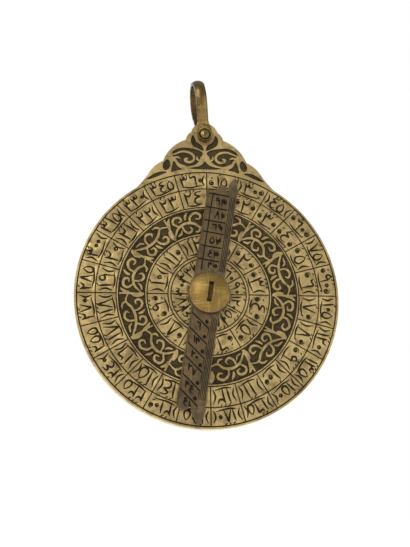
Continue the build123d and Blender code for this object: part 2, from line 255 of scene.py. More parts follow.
def face_loops(node: str, side: Side) -> list[np.ndarray]:
    """The borders of a CAD piece's outermost flat face, from above.

    Args:
        node: The piece's name.
        side: The side whose face is wanted.

    Returns:
        One array of points for each border, with the metal on its left.
    """
    solid = bmesh.new()
    solid.from_mesh(frame["nodes"][node].data)
    bmesh.ops.remove_doubles(solid, verts=solid.verts, dist=1e-7)
    level = max(v.co.y * side.value for v in solid.verts)
    flat = {f for f in solid.faces if all(abs(v.co.y * side.value - level) < 2e-6 for v in f.verts)}
    follows = {}
    for face in flat:
        for corner in face.loops:
            if sum(f in flat for f in corner.edge.link_faces) == 1:
                follows[corner.vert] = corner.link_loop_next.vert
    loops = []
    while follows:
        vert = next(iter(follows))
        loop = []
        while vert in follows:
            loop.append((vert.co.x / MM - PIVOT[0], vert.co.z / MM - PIVOT[1]))
            vert = follows.pop(vert)
        loops.append(np.array(loop if side is Side.FRONT else loop[::-1]))
    solid.free()
    return loops


class Draft:
    """The lines that a sheet is triangulated along."""

    def __init__(self) -> None:
        """Starts with no lines."""
        self.points: list[np.ndarray] = []
        self.edges: list[np.ndarray] = []
        self.count = 0

    def add(self, points: np.ndarray, closed: bool = False) -> None:
        """Adds one line.

        Args:
            points: Its points.
            closed: Whether it runs back to its start.
        """
        number = len(points)
        start = np.arange(number if closed else number - 1)
        self.points.append(np.asarray(points, float))
        self.edges.append(np.c_[start, (start + 1) % number] + self.count)
        self.count += number

    def triangles(self) -> tuple[np.ndarray, np.ndarray]:
        """Triangulates the plane inside the lines' hull.

        Returns:
            The points, and three point numbers for each triangle.
        """
        points = [Vector(p) for p in np.vstack(self.points)]
        edges = [tuple(int(i) for i in e) for e in np.vstack(self.edges)]
        made = delaunay_2d_cdt(points, edges, [], 0, 1e-5, False)
        return np.array([tuple(v) for v in made[0]]), np.array(made[2])


@dataclass
class ReliefSheet:
    """A flat piece whose outer face is engraved.

    The face is triangulated along every edge of every cut, and each point then takes its depth from the cuts
    near it.
    """

    name: str
    loops: list[np.ndarray]
    side: Side
    face_y: float
    back_y: float
    finish: bpy.types.Material
    grooves: list[Stroke] = field(default_factory=list)
    pockets: list[Pocket] = field(default_factory=list)
    folds: list[np.ndarray] = field(default_factory=list)
    groove_depth: float = 0.12
    edge_round: float = 0.15
    tilt: float = 0.0
    base: Heights | None = None

    def draft_lines(self) -> Draft:
        """Collects all the lines that the face has to have an edge along.

        Returns:
            The draft to be triangulated.
        """
        draft = Draft()
        for loop in self.loops:
            draft.add(loop, closed=True)
            if self.edge_round:
                inset = side_lines(loop, np.full(len(loop), self.edge_round), closed=True)[0]
                draft.add(inset, closed=True)
        for fold in self.folds:
            draft.add(fold)
        for stroke in self.grooves:
            self.add_stroke(draft, stroke, 0.0)
            draft.add(np.array(stroke.points))
        for pocket in self.pockets:
            border = np.array(pocket.border)
            draft.add(border, closed=True)
            draft.add(side_lines(border, np.full(len(border), pocket.slope), closed=True)[0], closed=True)
            for ridge in pocket.ridges:
                self.add_stroke(draft, ridge, 0.0)
                self.add_stroke(draft, ridge, pocket.slope)
        return draft

    @staticmethod
    def add_stroke(draft: Draft, stroke: Stroke, extra: float) -> None:
        """Adds a stroke's outline, with a pointed end beyond each end of its line.

        Args:
            draft: What the outline is added to.
            stroke: The stroke.
            extra: How much further out the outline runs on each side.
        """
        line = np.array(stroke.points)
        half = stroke.half_widths() + extra
        left, right = side_lines(line, half)
        out, on = line[1] - line[0], line[-1] - line[-2]
        first = line[0] - out / max(np.linalg.norm(out), 1e-9) * half[0]
        last = line[-1] + on / max(np.linalg.norm(on), 1e-9) * half[-1]
        draft.add(np.vstack([first, left, last, right[::-1]]), closed=True)

    def near(self, points: np.ndarray, line: np.ndarray, reach: float) -> np.ndarray:
        """Indices of the points within reach of a line's bounding box."""
        low, high = line.min(0) - reach, line.max(0) + reach
        return np.flatnonzero(((points >= low) & (points <= high)).all(1))

    def shares(self, points: np.ndarray) -> tuple[np.ndarray, np.ndarray]:
        """How far each point of the face is down a cut.

        Args:
            points: The face's points.

        Returns:
            How far each point is down a groove from 0 to 1, and the same for the sunk grounds.
        """
        ink = np.zeros(len(points))
        ground = np.zeros(len(points))
        for pocket in self.pockets:
            border = np.array(pocket.border + pocket.border[:1])
            near = self.near(points, border, 0.01)
            near = near[inside(points[near], [border[:-1]])]
            if not len(near):
                continue
            share = np.clip(-clearance(points[near], border, np.zeros(len(border))) / -pocket.slope, 0, 1)
            for ridge in pocket.ridges:
                beside = clearance(points[near], np.array(ridge.points), ridge.half_widths())
                share = np.minimum(share, np.clip(beside / pocket.slope, 0, 1))
            ground[near] = np.maximum(ground[near], share)
        for stroke in self.grooves:
            line = np.array(stroke.points)
            half = stroke.half_widths()
            near = self.near(points, line, half.max())
            if not len(near):
                continue
            share = np.clip(-clearance(points[near], line, half) / half.max(), 0, 1)
            ink[near] = np.maximum(ink[near], share)
        return ink, ground

    def build(self) -> bpy.types.Object:
        """Makes the sheet as one closed mesh.

        Returns:
            The new object, with the attributes ink, ground and wear on its points.
        """
        points, triangles = self.draft_lines().triangles()
        centres = points[triangles].mean(1)
        corner = points[triangles]
        area = np.abs(np.cross(corner[:, 1] - corner[:, 0], corner[:, 2] - corner[:, 0]))
        triangles = triangles[inside(centres, self.loops) & (area > 1e-9)]
        used, triangles = np.unique(triangles, return_inverse=True)
        triangles = triangles.reshape(-1, 3)
        points = points[used]
        ink, ground = self.shares(points)
        pairs = np.vstack([triangles[:, [0, 1]], triangles[:, [1, 2]], triangles[:, [2, 0]]])
        known = {tuple(p) for p in pairs}
        border = np.array([p for p in pairs if (p[1], p[0]) not in known])
        rim = np.unique(border)
        wear = np.zeros(len(points))
        wear[rim] = 1.0
        drop = np.zeros(len(points)) if self.base is None else self.base(points)
        level = self.face_y - self.side.value * drop
        lookup = {int(v): len(points) + i for i, v in enumerate(rim)}
        under = points[rim]
        walls = [(int(a), lookup[int(a)], lookup[int(b)], int(b)) for a, b in border]
        local = {int(v): i for i, v in enumerate(rim)}
        edges = [(local[int(a)], local[int(b)]) for a, b in border]
        made = delaunay_2d_cdt([Vector(p) for p in under], edges, [], 0, 1e-7, True)
        origin = [o[0] if o else -1 for o in made[3]]
        floor = np.array([[origin[i] for i in t] for t in made[2]])
        floor = floor[(floor >= 0).all(1)]
        floor = floor[inside(under[floor].mean(1), self.loops)] + len(points)
        faces = [tuple(int(i) for i in t) for t in triangles] + walls
        faces += [tuple(int(i) for i in t[::-1]) for t in floor]
        if self.side is Side.BACK:
            faces = [f[::-1] for f in faces]
        flat = np.vstack([points, under])
        heights = np.concatenate([level, np.full(len(rim), self.back_y)])
        return self.as_object(flat, heights, faces, ink, ground, wear)

    def as_object(
        self, flat: np.ndarray, heights: np.ndarray, faces: list[tuple], ink: np.ndarray, ground: np.ndarray,
        wear: np.ndarray,
    ) -> bpy.types.Object:
        """Puts the sheet's points in the part's frame and makes the object.

        Args:
            flat: Points of the face and of its underside, from above.
            heights: Their levels along Y.
            faces: Corner numbers of each face.
            ink: How far the face's points are down a groove.
            ground: How far they are down a sunk ground.
            wear: Which of them lie on the edge.

        Returns:
            The object, in relief.
        """
        turn = math.radians(self.tilt)
        x = flat[:, 0] * math.cos(turn) + flat[:, 1] * math.sin(turn) + PIVOT[0]
        z = -flat[:, 0] * math.sin(turn) + flat[:, 1] * math.cos(turn) + PIVOT[1]
        mesh = bpy.data.meshes.new(self.name)
        mesh.from_pydata((np.c_[x, heights, z] * MM).tolist(), [], faces)
        for label, values in (("ink", ink), ("ground", ground), ("wear", wear)):
            attribute = mesh.attributes.new(label, "FLOAT", "POINT")
            full = np.zeros(len(flat), np.float32)
            full[: len(values)] = values
            attribute.data.foreach_set("value", full)
        mesh.validate()
        ground_depth = max([p.depth for p in self.pockets], default=0.0)
        cuts = CutDepths(self.groove_depth, ground_depth, self.edge_round * 0.7, self.side, self.finish)
        return cuts.apply(linked(self.name, mesh))


# Engraver's hand

@dataclass(frozen=True)
class Numerals:
    """Plain dial numbers in the eastern Arabic figures, as lines in a box one unit high."""

    figures: tuple = (
        (((0.18, 0.36), (0.3, 0.5), (0.18, 0.62), (0.08, 0.5), (0.18, 0.36)),),
        (((0.1, 1.0), (0.16, 0.7), (0.2, 0.35), (0.24, 0.0)),),
        (((0.16, 0.0), (0.12, 0.5), (0.04, 0.96)), ((0.06, 0.92), (0.18, 0.7), (0.42, 0.7), (0.52, 0.98))),
        (((0.14, 0.0), (0.1, 0.5), (0.02, 0.96)),
         ((0.04, 0.94), (0.12, 0.72), (0.26, 0.74), (0.32, 0.94), (0.4, 0.72), (0.56, 0.74), (0.62, 1.0))),
        (((0.52, 0.98), (0.2, 0.92), (0.1, 0.74), (0.4, 0.6), (0.12, 0.46), (0.04, 0.2), (0.24, 0.02),
          (0.56, 0.1)),),
        (((0.3, 0.9), (0.1, 0.6), (0.04, 0.24), (0.2, 0.06), (0.44, 0.08), (0.56, 0.3), (0.48, 0.66),
          (0.3, 0.9)),),
        (((0.02, 0.98), (0.1, 0.8), (0.46, 0.9), (0.5, 0.5), (0.58, 0.0)),),
        (((0.0, 1.0), (0.14, 0.5), (0.3, 0.04), (0.46, 0.52), (0.62, 1.0)),),
        (((0.0, 0.0), (0.16, 0.46), (0.3, 0.98), (0.44, 0.5), (0.62, 0.0)),),
        (((0.46, 0.72), (0.26, 1.0), (0.06, 0.82), (0.2, 0.6), (0.46, 0.7), (0.5, 0.4), (0.56, 0.0)),),
    )
    advances: tuple = (0.42, 0.42, 0.7, 0.8, 0.72, 0.74, 0.74, 0.78, 0.78, 0.74)

    def width(self, number: int) -> float:
        """How wide a number is, in heights."""
        return sum(self.advances[int(d)] for d in str(number)) - 0.14

    def strokes(self, number: int, height: float, nib: float) -> list[Stroke]:
        """A number drawn about the origin.

        Args:
            number: The number.
            height: The height of its figures.
            nib: The width of the cut.

        Returns:
            Its strokes.
        """
        made = []
        x = -self.width(number) / 2
        for digit in (int(d) for d in str(number)):
            for line in self.figures[digit]:
                points = smooth([((x + u) * height, (v - 0.5) * height) for u, v in line], 3)
                made.append(Stroke(points, nib * 0.55, nib * 0.5, nib * 0.5))
            x += self.advances[digit]
        return made


NUMERALS = Numerals()


def dot(x: float, z: float, size: float) -> Stroke:
    """A small diamond, as one short thick cut."""
    return Stroke([(x - size * 0.3, z - size * 0.25), (x + size * 0.3, z + size * 0.25)], size * 0.7)


def tendril(x: float, z: float, size: float, side: int, nib: float) -> Stroke:
    """A curled vine end.

    Args:
        x: Where its eye lies.
        z: How high its eye lies.
        size: Its radius.
        side: 1 if it curls anticlockwise outwards, -1 if clockwise.
        nib: The width of the cut.

    Returns:
        The stroke, from the eye out.
    """
    turns = np.linspace(0, 1.55 * math.tau / 1.2, 16)
    radii = size * (0.18 + 0.82 * (turns / turns[-1]) ** 1.2)
    points = [(x + side * r * math.cos(t), z + r * math.sin(t)) for t, r in zip(turns, radii)]
    return Stroke(points, nib * 0.9, nib * 0.45, nib * 0.2)


def leaf(x: float, z: float, length: float, lean: float, nib: float) -> list[Stroke]:
    """A small leaf: two bowed sides and a vein.

    Args:
        x: Where its foot lies.
        z: How high its foot lies.
        length: From foot to tip.
        lean: Its direction in degrees from the right.
        nib: The width of the cut.

    Returns:
        Its strokes.
    """
    c, s = math.cos(math.radians(lean)), math.sin(math.radians(lean))

    def put(u: float, v: float) -> Point:
        """A point at a share of the leaf's length along it and across it."""
        return x + length * (u * c - v * s), z + length * (u * s + v * c)

    sides = [smooth([put(0, 0), put(0.35, b * 0.3), put(0.75, b * 0.2), put(1, 0)], 3) for b in (1, -1)]
    vein = [put(-0.3, 0.02), put(0.1, 0), put(0.55, 0)]
    bowed = [Stroke(line, nib * 0.6, nib * 0.45, nib * 0.4) for line in sides]
    return bowed + [Stroke(vein, nib * 0.6, nib * 0.35)]


@dataclass
class RingOfCells:
    """One ring of engraved cells, with a number, curls or bows, and dots in each."""

    outer: float
    inner: float
    count: int
    step: int
    figure_height: float
    nib: float
    seed: int
    turn: float
    margin: float = 0.65
    dot_size: float = 0.6
    curl_room: float = 2.0
    bow_room: float = 0.9

    def place(self, index: int) -> Bend:
        """Bends a cell's own drawing round the ring.

        Args:
            index: The cell's place, clockwise from the top.

        Returns:
            The function that moves each of its points.
        """
        middle = (self.outer + self.inner) / 2
        angle = 90 - self.turn - (index + 0.5) * 360 / self.count

        def put(x: float, z: float) -> Point:
            """From the cell's own axes to the face's."""
            return turned_point(middle + z, angle - math.degrees(x / middle))

        return put

    def cell(self, index: int, dice: np.random.Generator) -> list[Stroke]:
        """One cell's cuts, about its own middle.

        Args:
            index: Its place, clockwise from the top.
            dice: The ring's own source of chance.

        Returns:
            Its strokes.
        """
        middle = (self.outer + self.inner) / 2
        half_width = math.pi * middle / self.count
        half_height = (self.outer - self.inner) / 2
        number = (index + 1) * self.step
        size = self.figure_height * dice.uniform(0.94, 1.04)
        width = NUMERALS.width(number) * size
        shift = dice.uniform(-0.3, 0.3)
        lift = dice.uniform(-0.1, 0.25)
        figures = NUMERALS.strokes(number, size, self.nib)
        strokes = [s.moved(lambda x, z, rise=lift: (x + shift, z + rise)) for s in figures]
        room = half_width - self.margin
        gaps = ((-1, shift - width / 2 + room), (1, room - shift - width / 2))
        for side, wide in gaps:
            if wide > self.curl_room:
                turn = min(1.35, wide * 0.4)
                lift = dice.uniform(-0.25, 0.25) * half_height
                strokes.append(tendril(side * (room - turn), lift, turn, side, self.nib))
                strokes.append(dot(side * (room - turn), lift - side * half_height * 0.62, 0.62))
            elif wide > self.bow_room:
                bow = [
                    (side * (room - 0.15), -0.62), (side * (room - 0.75), 0.0), (side * (room - 0.1), 0.66),
                ]
                line = smooth([(x, z * half_height) for x, z in bow], 4)
                strokes.append(Stroke(line, self.nib * 0.5, self.nib * 0.4, self.nib * 0.5))
        low = -half_height + 0.62
        sweep = [(-0.75 * room, low + 0.35), (-0.1 * room, low), (0.8 * room, low + 0.55)]
        if size < half_height * 1.6:
            strokes.append(Stroke(smooth(sweep, 4), self.nib * 0.4, self.nib * 0.4, self.nib * 0.5))
        for k in range(1 + index % 3):
            strokes.append(dot(shift - width / 2 + 0.9 + 1.1 * k, half_height - 0.5, self.dot_size))
        return strokes

    def strokes(self) -> list[Stroke]:
        """Every cell's cuts, round the ring.

        Returns:
            The strokes.
        """
        dice = np.random.default_rng(self.seed)
        made = []
        for index in range(self.count):
            place = self.place(index)
            made += [s.moved(place) for s in self.cell(index, dice)]
        return made


@dataclass
class EngravedPlate:
    """The disc's outer plate, with rings of cells, a ring of raised vines and a carved throne."""

    finish: bpy.types.Material
    outer_line: float = 39.0
    second_line: float = 33.6
    vine_border: tuple[float, float] = (27.5, 26.8)
    vine_inner: tuple[float, float] = (19.1, 18.4)
    inner_pair: tuple[float, float] = (12.2, 11.3)
    hub_line: float = 5.2
    line_width: float = 0.4
    nib: float = 0.72
    ground_depth: float = 0.22
    ground_slope: float = 0.2
    throne_depth: float = 0.3
    throne_slope: float = 0.16
    ring_turn: float = 0.55

    def lines(self) -> list[Stroke]:
        """The circles and spokes that part the cells.

        Returns:
            The strokes.
        """
        radii = (
            self.outer_line, self.second_line, *self.vine_border, *self.vine_inner, *self.inner_pair,
        )
        made = [Stroke(arc_points(r, 0.7, 360.7, 2.0), self.line_width) for r in radii]
        made[0].width = self.line_width * 1.2
        for k in range(24):
            angle = 90 - self.ring_turn - 15 * k
            ends = [(self.outer_line, self.second_line), (self.second_line, self.vine_border[0])]
            if k % 2 == 0:
                ends += [(self.vine_inner[1], self.inner_pair[0]), (self.inner_pair[1], self.hub_line)]
            for start, end in ends:
                made.append(Stroke([turned_point(start, angle), turned_point(end, angle)], self.line_width))
        return made

    def cells(self) -> list[Stroke]:
        """The four rings of numbered cells.

        Returns:
            The strokes.
        """
        sizes = [
            (self.outer_line, self.second_line, 24, 15, 3.5, self.nib, 11),
            (self.second_line, self.vine_border[0], 24, 1, 4.2, self.nib, 12),
            (self.vine_inner[1], self.inner_pair[0], 12, 1, 4.2, self.nib, 13),
            (self.inner_pair[1], self.hub_line + 0.4, 12, 30, 3.0, self.nib * 0.85, 14),
        ]
        rings = [RingOfCells(*size, self.ring_turn) for size in sizes]
        return [s for ring in rings for s in ring.strokes()]

    def vine_panel(self, index: int) -> Pocket:
        """One panel of raised vines on the sunk ground.

        Args:
            index: Its place, clockwise from the top.

        Returns:
            The panel.
        """
        outer, inner = self.vine_border[1] - 0.15, self.vine_inner[0] + 0.15
        middle, half = (outer + inner) / 2, (outer - inner) / 2
        angle = 90 - self.ring_turn - (index + 0.5) * 30
        gap = math.degrees(0.22 / middle)
        border = arc_points(outer, angle - 15 + gap, angle + 15 - gap, 2.0)
        border += arc_points(inner, angle + 15 - gap, angle - 15 + gap, 2.5)
        flip = 1 if index % 2 else -1

        def put(u: float, v: float) -> Point:
            """From shares of the panel's half width and half height to the face."""
            return turned_point(middle + v * half * flip, angle - u * 15)

        lines = [
            ([(-0.95, -0.75), (-0.6, -0.2), (-0.15, 0.05), (0.3, -0.1), (0.62, -0.5), (0.98, -0.3)], 0.62),
            ([(-0.5, -0.1), (-0.72, 0.35), (-0.6, 0.72), (-0.35, 0.7), (-0.28, 0.38), (-0.45, 0.28)], 0.6),
            ([(0.1, 0.0), (0.16, 0.5), (0.42, 0.8), (0.66, 0.6), (0.6, 0.26), (0.42, 0.3)], 0.6),
            ([(-0.35, -0.05), (-0.3, -0.55), (-0.08, -0.82), (0.14, -0.6), (0.06, -0.36)], 0.55),
            ([(0.62, -0.5), (0.5, -0.8), (0.3, -0.85)], 0.5),
            ([(-0.95, 0.2), (-0.9, 0.6), (-0.78, 0.88)], 0.7),
            ([(0.9, 0.1), (0.86, 0.5), (0.92, 0.9)], 0.7),
            ([(-0.1, 0.35), (-0.06, 0.62), (0.05, 0.9)], 0.6),
            ([(-0.78, -0.8), (-0.55, -0.7), (-0.45, -0.45)], 0.5),
        ]
        ridges = []
        for line, width in lines:
            points = smooth([put(u, v) for u, v in line], 3)
            ridges.append(Stroke(points, width * 0.7, width * 0.5, width * 0.6))
        return Pocket(border, self.ground_depth, self.ground_slope, ridges)

    def throne_pockets(self) -> list[Pocket]:
        """The throne's carving: two scrolls that spring from a forked stem, with leaves at the sides.

        Returns:
            The pockets.
        """
        scroll = [
            (0.6, 45.3), (1.2, 46.2), (2.8, 46.8), (5.0, 47.2), (6.8, 47.3), (8.5, 46.9), (9.9, 46.0),
            (10.3, 45.0), (9.9, 44.1), (9.0, 43.2), (8.3, 42.1), (6.7, 41.3), (5.3, 41.0), (3.5, 41.4),
            (2.3, 42.2), (1.6, 43.2), (1.4, 44.1),
        ]
        spiral = smooth([
            (10.0, 44.8), (8.8, 45.3), (7.3, 45.9), (5.9, 45.9), (4.4, 45.4), (3.5, 44.4), (3.5, 43.3),
            (4.4, 42.5), (5.6, 42.5), (6.3, 43.2), (5.6, 43.6),
        ], 4)
        tip = smooth([(9.5, 43.9), (8.6, 44.0), (7.9, 43.6)], 3)
        heart = smooth([(2.1, 43.2), (2.5, 43.6), (2.4, 44.3)], 3)
        stem = [(0.35, 46.4), (0.9, 48.1), (2.6, 49.5), (3.5, 51.6), (4.3, 50.2), (3.9, 48.2), (1.9, 46.9)]
        base = [(0.0, 42.8), (0.9, 41.8), (2.4, 41.0), (5.2, 40.4), (2.6, 40.05), (0.0, 40.05)]
        corner = [(7.2, 39.95), (8.6, 41.0), (9.75, 42.7), (10.3, 41.2), (10.6, 38.95), (9.0, 39.5)]
        side_leaf = [
            (11.9, 39.6), (11.0, 40.8), (11.0, 42.4), (11.8, 43.2), (12.7, 42.4), (13.3, 41.0), (12.9, 39.8),
        ]
        foot_leaf = [(12.0, 38.9), (14.2, 39.0), (16.6, 37.9), (18.4, 36.3), (16.6, 36.6), (14.4, 37.6)]
        made = []
        for side in (1, -1):
            ridges = [
                Stroke([(side * x, z) for x, z in spiral], 0.4, 0.75, 0.15),
                Stroke([(side * x, z) for x, z in tip], 0.6, 0.3, 0.1),
                Stroke([(side * x, z) for x, z in heart], 0.7, 0.4),
            ]
            made.append(self.throne_pocket([(side * x, z) for x, z in scroll], 4, ridges))
            for shape in (stem, corner, side_leaf, foot_leaf):
                made.append(self.throne_pocket([(side * x, z) for x, z in shape], 4))
        made.append(self.throne_pocket(base + [(-x, z) for x, z in reversed(base[1:-1])], 3))
        return made

    def throne_pocket(self, points: list[Point], steps: int, ridges: list[Stroke] | None = None) -> Pocket:
        """One of the throne's pockets, with its ground on the left of its border.

        Args:
            points: The border's control points.
            steps: How many pieces each stretch of the border is cut into.
            ridges: What is left standing in it.

        Returns:
            The pocket.
        """
        line = smooth(points, steps, closed=True)
        turned = sum(a[0] * b[1] - a[1] * b[0] for a, b in zip(line, line[1:] + line[:1]))
        border = line if turned > 0 else line[::-1]
        return Pocket(border, self.throne_depth, self.throne_slope, ridges or [])

    def build(self) -> bpy.types.Object:
        """Makes the engraved plate in the place of the plain one.

        Returns:
            The plate.
        """
        low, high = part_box("mater_plate")
        sheet = ReliefSheet(
            "engraved_plate", face_loops("mater_plate", Side.FRONT), Side.FRONT, low.y / MM, high.y / MM,
            self.finish, grooves=self.lines() + self.cells(),
            pockets=[self.vine_panel(k) for k in range(12)] + self.throne_pockets(),
        )
        return sheet.build()


@dataclass
class Rule:
    """The sighting rule, with its bevel, hub and engraved divisions."""

    finish: bpy.types.Material
    angle: float = 10.1
    left: float = 5.3
    left_below: float = 4.5
    right: float = 3.95
    bevel: float = 2.5
    bevel_edge: float = 0.35
    chamfer: float = 0.5
    hub: float = 6.4
    reach: float = 39.1
    step: float = 0.04
    nib: float = 0.62
    upper_marks: tuple[float, ...] = (7.0, 10.1, 14.4, 18.9, 22.6, 26.9, 31.4)
    lower_marks: tuple[float, ...] = (6.7, 11.3, 15.7, 19.8, 25.0, 29.5)
    bevel_lines: tuple[float, ...] = (0.5, 1.0, 1.5, 2.0)
    bevel_span: tuple[float, float] = (7.2, 31.6)
    slant: float = 4.0

    def height_drop(self, top: float) -> Heights:
        """Works out how far the rule's upper face lies below its top.

        Args:
            top: The rule's full thickness.

        Returns:
            The function that gives the drop at points from above.
        """
        flat_edge = self.right - self.bevel

        def drop(points: np.ndarray) -> np.ndarray:
            """How far below the top each point lies.

            Args:
                points: The points, from above.

            Returns:
                One drop for each.
            """
            x = points[:, 0]
            slope = np.clip((x - flat_edge) / self.bevel, 0, 1) * (top - self.bevel_edge)
            left = np.where(points[:, 1] > 0, self.left, self.left_below)
            slope = np.maximum(slope, np.clip((self.chamfer - left - x) / self.chamfer, 0, 1) * self.chamfer)
            return np.where(np.linalg.norm(points, axis=1) < self.hub + self.step / 2, 0, slope)

        return drop

    def cuts(self) -> list[Stroke]:
        """The rule's engraved lines, with small numbers between them.

        Returns:
            The strokes.
        """
        edge_left, edge_right = -self.left + self.chamfer, self.right - self.bevel
        made = []
        for low, high in zip(self.upper_marks, self.upper_marks[1:]):
            made.append(Stroke([(edge_left, high), (edge_right, high)], self.nib * 0.8))
            middle = (low + high) / 2
            number = int(round(high)) * 3
            size = min(2.3, (high - low) * 0.62)
            figures = NUMERALS.strokes(number, size, self.nib)
            made += [s.moved(lambda x, z, rise=middle: (x - 0.7, z + rise)) for s in figures]
            made.append(tendril(edge_right - 1.0, middle, 0.65, 1, self.nib))
        made.append(Stroke([(edge_left + 1.3, 6.8), (edge_left + 1.3, 31.6)], self.nib * 0.7))
        for across in self.bevel_lines:
            for sign in (1, -1):
                x = edge_right + across
                made.append(Stroke([(x, z * sign) for z in self.bevel_span], self.nib * 0.45))
        below_left = self.chamfer - self.left_below
        for index, below in enumerate(self.lower_marks):
            made.append(Stroke([(below_left, -below), (edge_right, -below - self.slant)], self.nib * 0.8))
            number = 6 + 7 * index
            made += [
                s.moved(lambda x, z, fall=below: (x * 0.85 - 1.6, z - fall - 3.5 - 0.6 * x))
                for s in NUMERALS.strokes(number, 2.2, self.nib)
            ]
            made.append(tendril(0.6, -below - 2.0, 0.6, -1, self.nib))
        return made

    def build(self) -> bpy.types.Object:
        """Makes the rule in the place of the plain one.

        Returns:
            The rule.
        """
        low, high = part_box("alidade")
        turn = math.radians(self.angle)
        loops = []
        for loop in face_loops("alidade", Side.BACK):
            x = loop[:, 0] * math.cos(turn) - loop[:, 1] * math.sin(turn)
            z = loop[:, 0] * math.sin(turn) + loop[:, 1] * math.cos(turn)
            loops.append(np.c_[x, z])
        top = (high.y - low.y) / MM
        flat_edge = self.right - self.bevel
        folds = [
            np.array([(flat_edge, -self.reach), (flat_edge, self.reach)]),
            *(
                np.array([(self.chamfer - left, 0.0), (self.chamfer - left, reach)])
                for left, reach in ((self.left, self.reach), (self.left_below, -self.reach))
            ),
            np.array(arc_points(self.hub, 0, 360, 4)),
            np.array(arc_points(self.hub + self.step, 0, 360, 4)),
        ]
        sheet = ReliefSheet(
            "engraved_rule", loops, Side.FRONT, low.y / MM, high.y / MM, self.finish,
            grooves=self.cuts(), folds=folds, groove_depth=0.1, edge_round=0.08, tilt=self.angle,
            base=self.height_drop(top),
        )
        return sheet.build()


def rear_sheet(
    name: str, node: str, finish: bpy.types.Material, cuts: list[Stroke], depth: float,
    edge_round: float = 0.0,
) -> bpy.types.Object:
    """Makes an engraved piece that shows its face behind, in the place of the plain one.

    Args:
        name: The new piece's name.
        node: The CAD piece that it stands for.
        finish: Its material.
        cuts: Its strokes.
        depth: How deep they are cut.
        edge_round: How far in its edge is rounded.

    Returns:
        The piece.
    """
    low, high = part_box(node)
    sheet = ReliefSheet(
        name, face_loops(node, Side.BACK), Side.BACK, high.y / MM, low.y / MM, finish, grooves=cuts,
        groove_depth=depth, edge_round=edge_round,
    )
    return sheet.build()


@dataclass
class Limb:
    """The raised rim behind, with its degree scale and the throne's second layer."""

    finish: bpy.types.Material
    scale_lines: tuple[float, ...] = (34.7, 36.1, 38.9)
    tick: float = 0.16
    figure_height: float = 1.75
    figure_nib: float = 0.26
    numbered: int = 5
    quadrant: int = 90

    def cuts(self) -> list[Stroke]:
        """The degree scale, numbered each five degrees, and the throne's curls and leaves.

        Returns:
            The strokes.
        """
        inner, middle, outer = self.scale_lines
        made = [Stroke(arc_points(r, 0.4, 360.4, 2.0), self.tick * 1.3) for r in self.scale_lines]
        for degree in range(360):
            if degree % self.numbered == 0:
                ends = [turned_point(inner, degree), turned_point(outer, degree)]
                made.append(Stroke(ends, self.tick * 1.2))
                number = degree % self.quadrant + self.numbered
                angle = degree + self.numbered / 2

                def put(x: float, z: float) -> Point:
                    """Bends a number round the scale, as read from behind."""
                    radius = (middle + outer) / 2 + z
                    return turned_point(radius, angle + math.degrees(x / radius))

                figures = NUMERALS.strokes(number, self.figure_height, self.figure_nib)
                made += [s.moved(put) for s in figures]
            else:
                made.append(Stroke([turned_point(inner, degree), turned_point(middle, degree)], self.tick))
        for side in (1, -1):
            curl = smooth([
                (1.0, 42.2), (3.6, 41.4), (6.8, 41.9), (8.6, 43.8), (7.6, 46.0), (5.2, 46.4), (3.9, 45.0),
                (4.8, 43.6), (6.1, 44.0),
            ], 4)
            made.append(Stroke([(side * x, z) for x, z in curl], 0.5, 0.3, 0.2))
            made += leaf(side * 10.4, 41.2, 3.6, 90 - side * 52, 0.4)
            made += leaf(side * 1.2, 43.4, 3.6, 90 - side * 22, 0.4)
        return made

    def build(self) -> bpy.types.Object:
        """Makes the engraved limb in the place of the plain one."""
        return rear_sheet("engraved_limb", "limb", self.finish, self.cuts(), 0.08, 0.15)


# From the rete's rim out to the outer tropic, and the ecliptic's lean in degrees
RIM_TO_TROPIC = 0.3 - 1.0
OBLIQUITY = 23.44


def tropics() -> tuple[float, float, float]:
    """The radii of the outer tropic, the equator and the inner tropic, from the rete's own size.

    Returns:
        The three radii.
    """
    rim = max(abs(x) for loop in face_loops("rete", Side.BACK) for x in loop[:, 0])
    ratio = math.tan(math.radians(90 - OBLIQUITY) / 2)
    capricorn = rim + RIM_TO_TROPIC
    return capricorn, capricorn * ratio, capricorn * ratio * ratio


@dataclass
class LatitudePlate:
    """The top plate in the well, with its circles of altitude for one latitude."""

    finish: bpy.types.Material
    latitude: float = 34.0
    line: float = 0.17

    def circle(self, height: float, radius: float, bound: float) -> list[Stroke]:
        """A circle centred above or below the pivot, kept inside a bound.

        Args:
            height: Its centre's height.
            radius: Its radius.
            bound: How far from the pivot it may run.

        Returns:
            Its visible stretches.
        """
        points = arc_points(radius, -90, 270, 2.0, (0.0, height))
        made, run = [], []
        for p in points:
            if math.hypot(*p) < bound:
                run.append(p)
            elif run:
                made.append(run)
                run = []
        made.append(run)
        return [Stroke(r, self.line) for r in made if len(r) > 1]

    def cuts(self) -> list[Stroke]:
        """The two tropics, the equator, the meridian and the circles of altitude.

        Returns:
            The strokes.
        """
        capricorn, equator, cancer = tropics()
        radii = (capricorn, equator, cancer)
        made = [Stroke(arc_points(r, 0.3, 360.3, 2.5), self.line * 1.2) for r in radii]
        made.append(Stroke([(-capricorn, 0.0), (capricorn, 0.0)], self.line))
        made.append(Stroke([(0.0, -capricorn), (0.0, capricorn)], self.line))
        latitude = math.radians(self.latitude)
        for altitude in range(0, 90, 6):
            a = math.radians(altitude)
            height = math.sin(latitude) + math.sin(a)
            below = equator * math.cos(latitude) / height
            radius = equator * math.cos(a) / height
            made += self.circle(-below, radius, capricorn)
        return made

    def build(self) -> bpy.types.Object:
        """Makes the engraved plate in the place of the plain one."""
        return rear_sheet("engraved_latitude_plate", "tympan_4", self.finish, self.cuts(), 0.06)


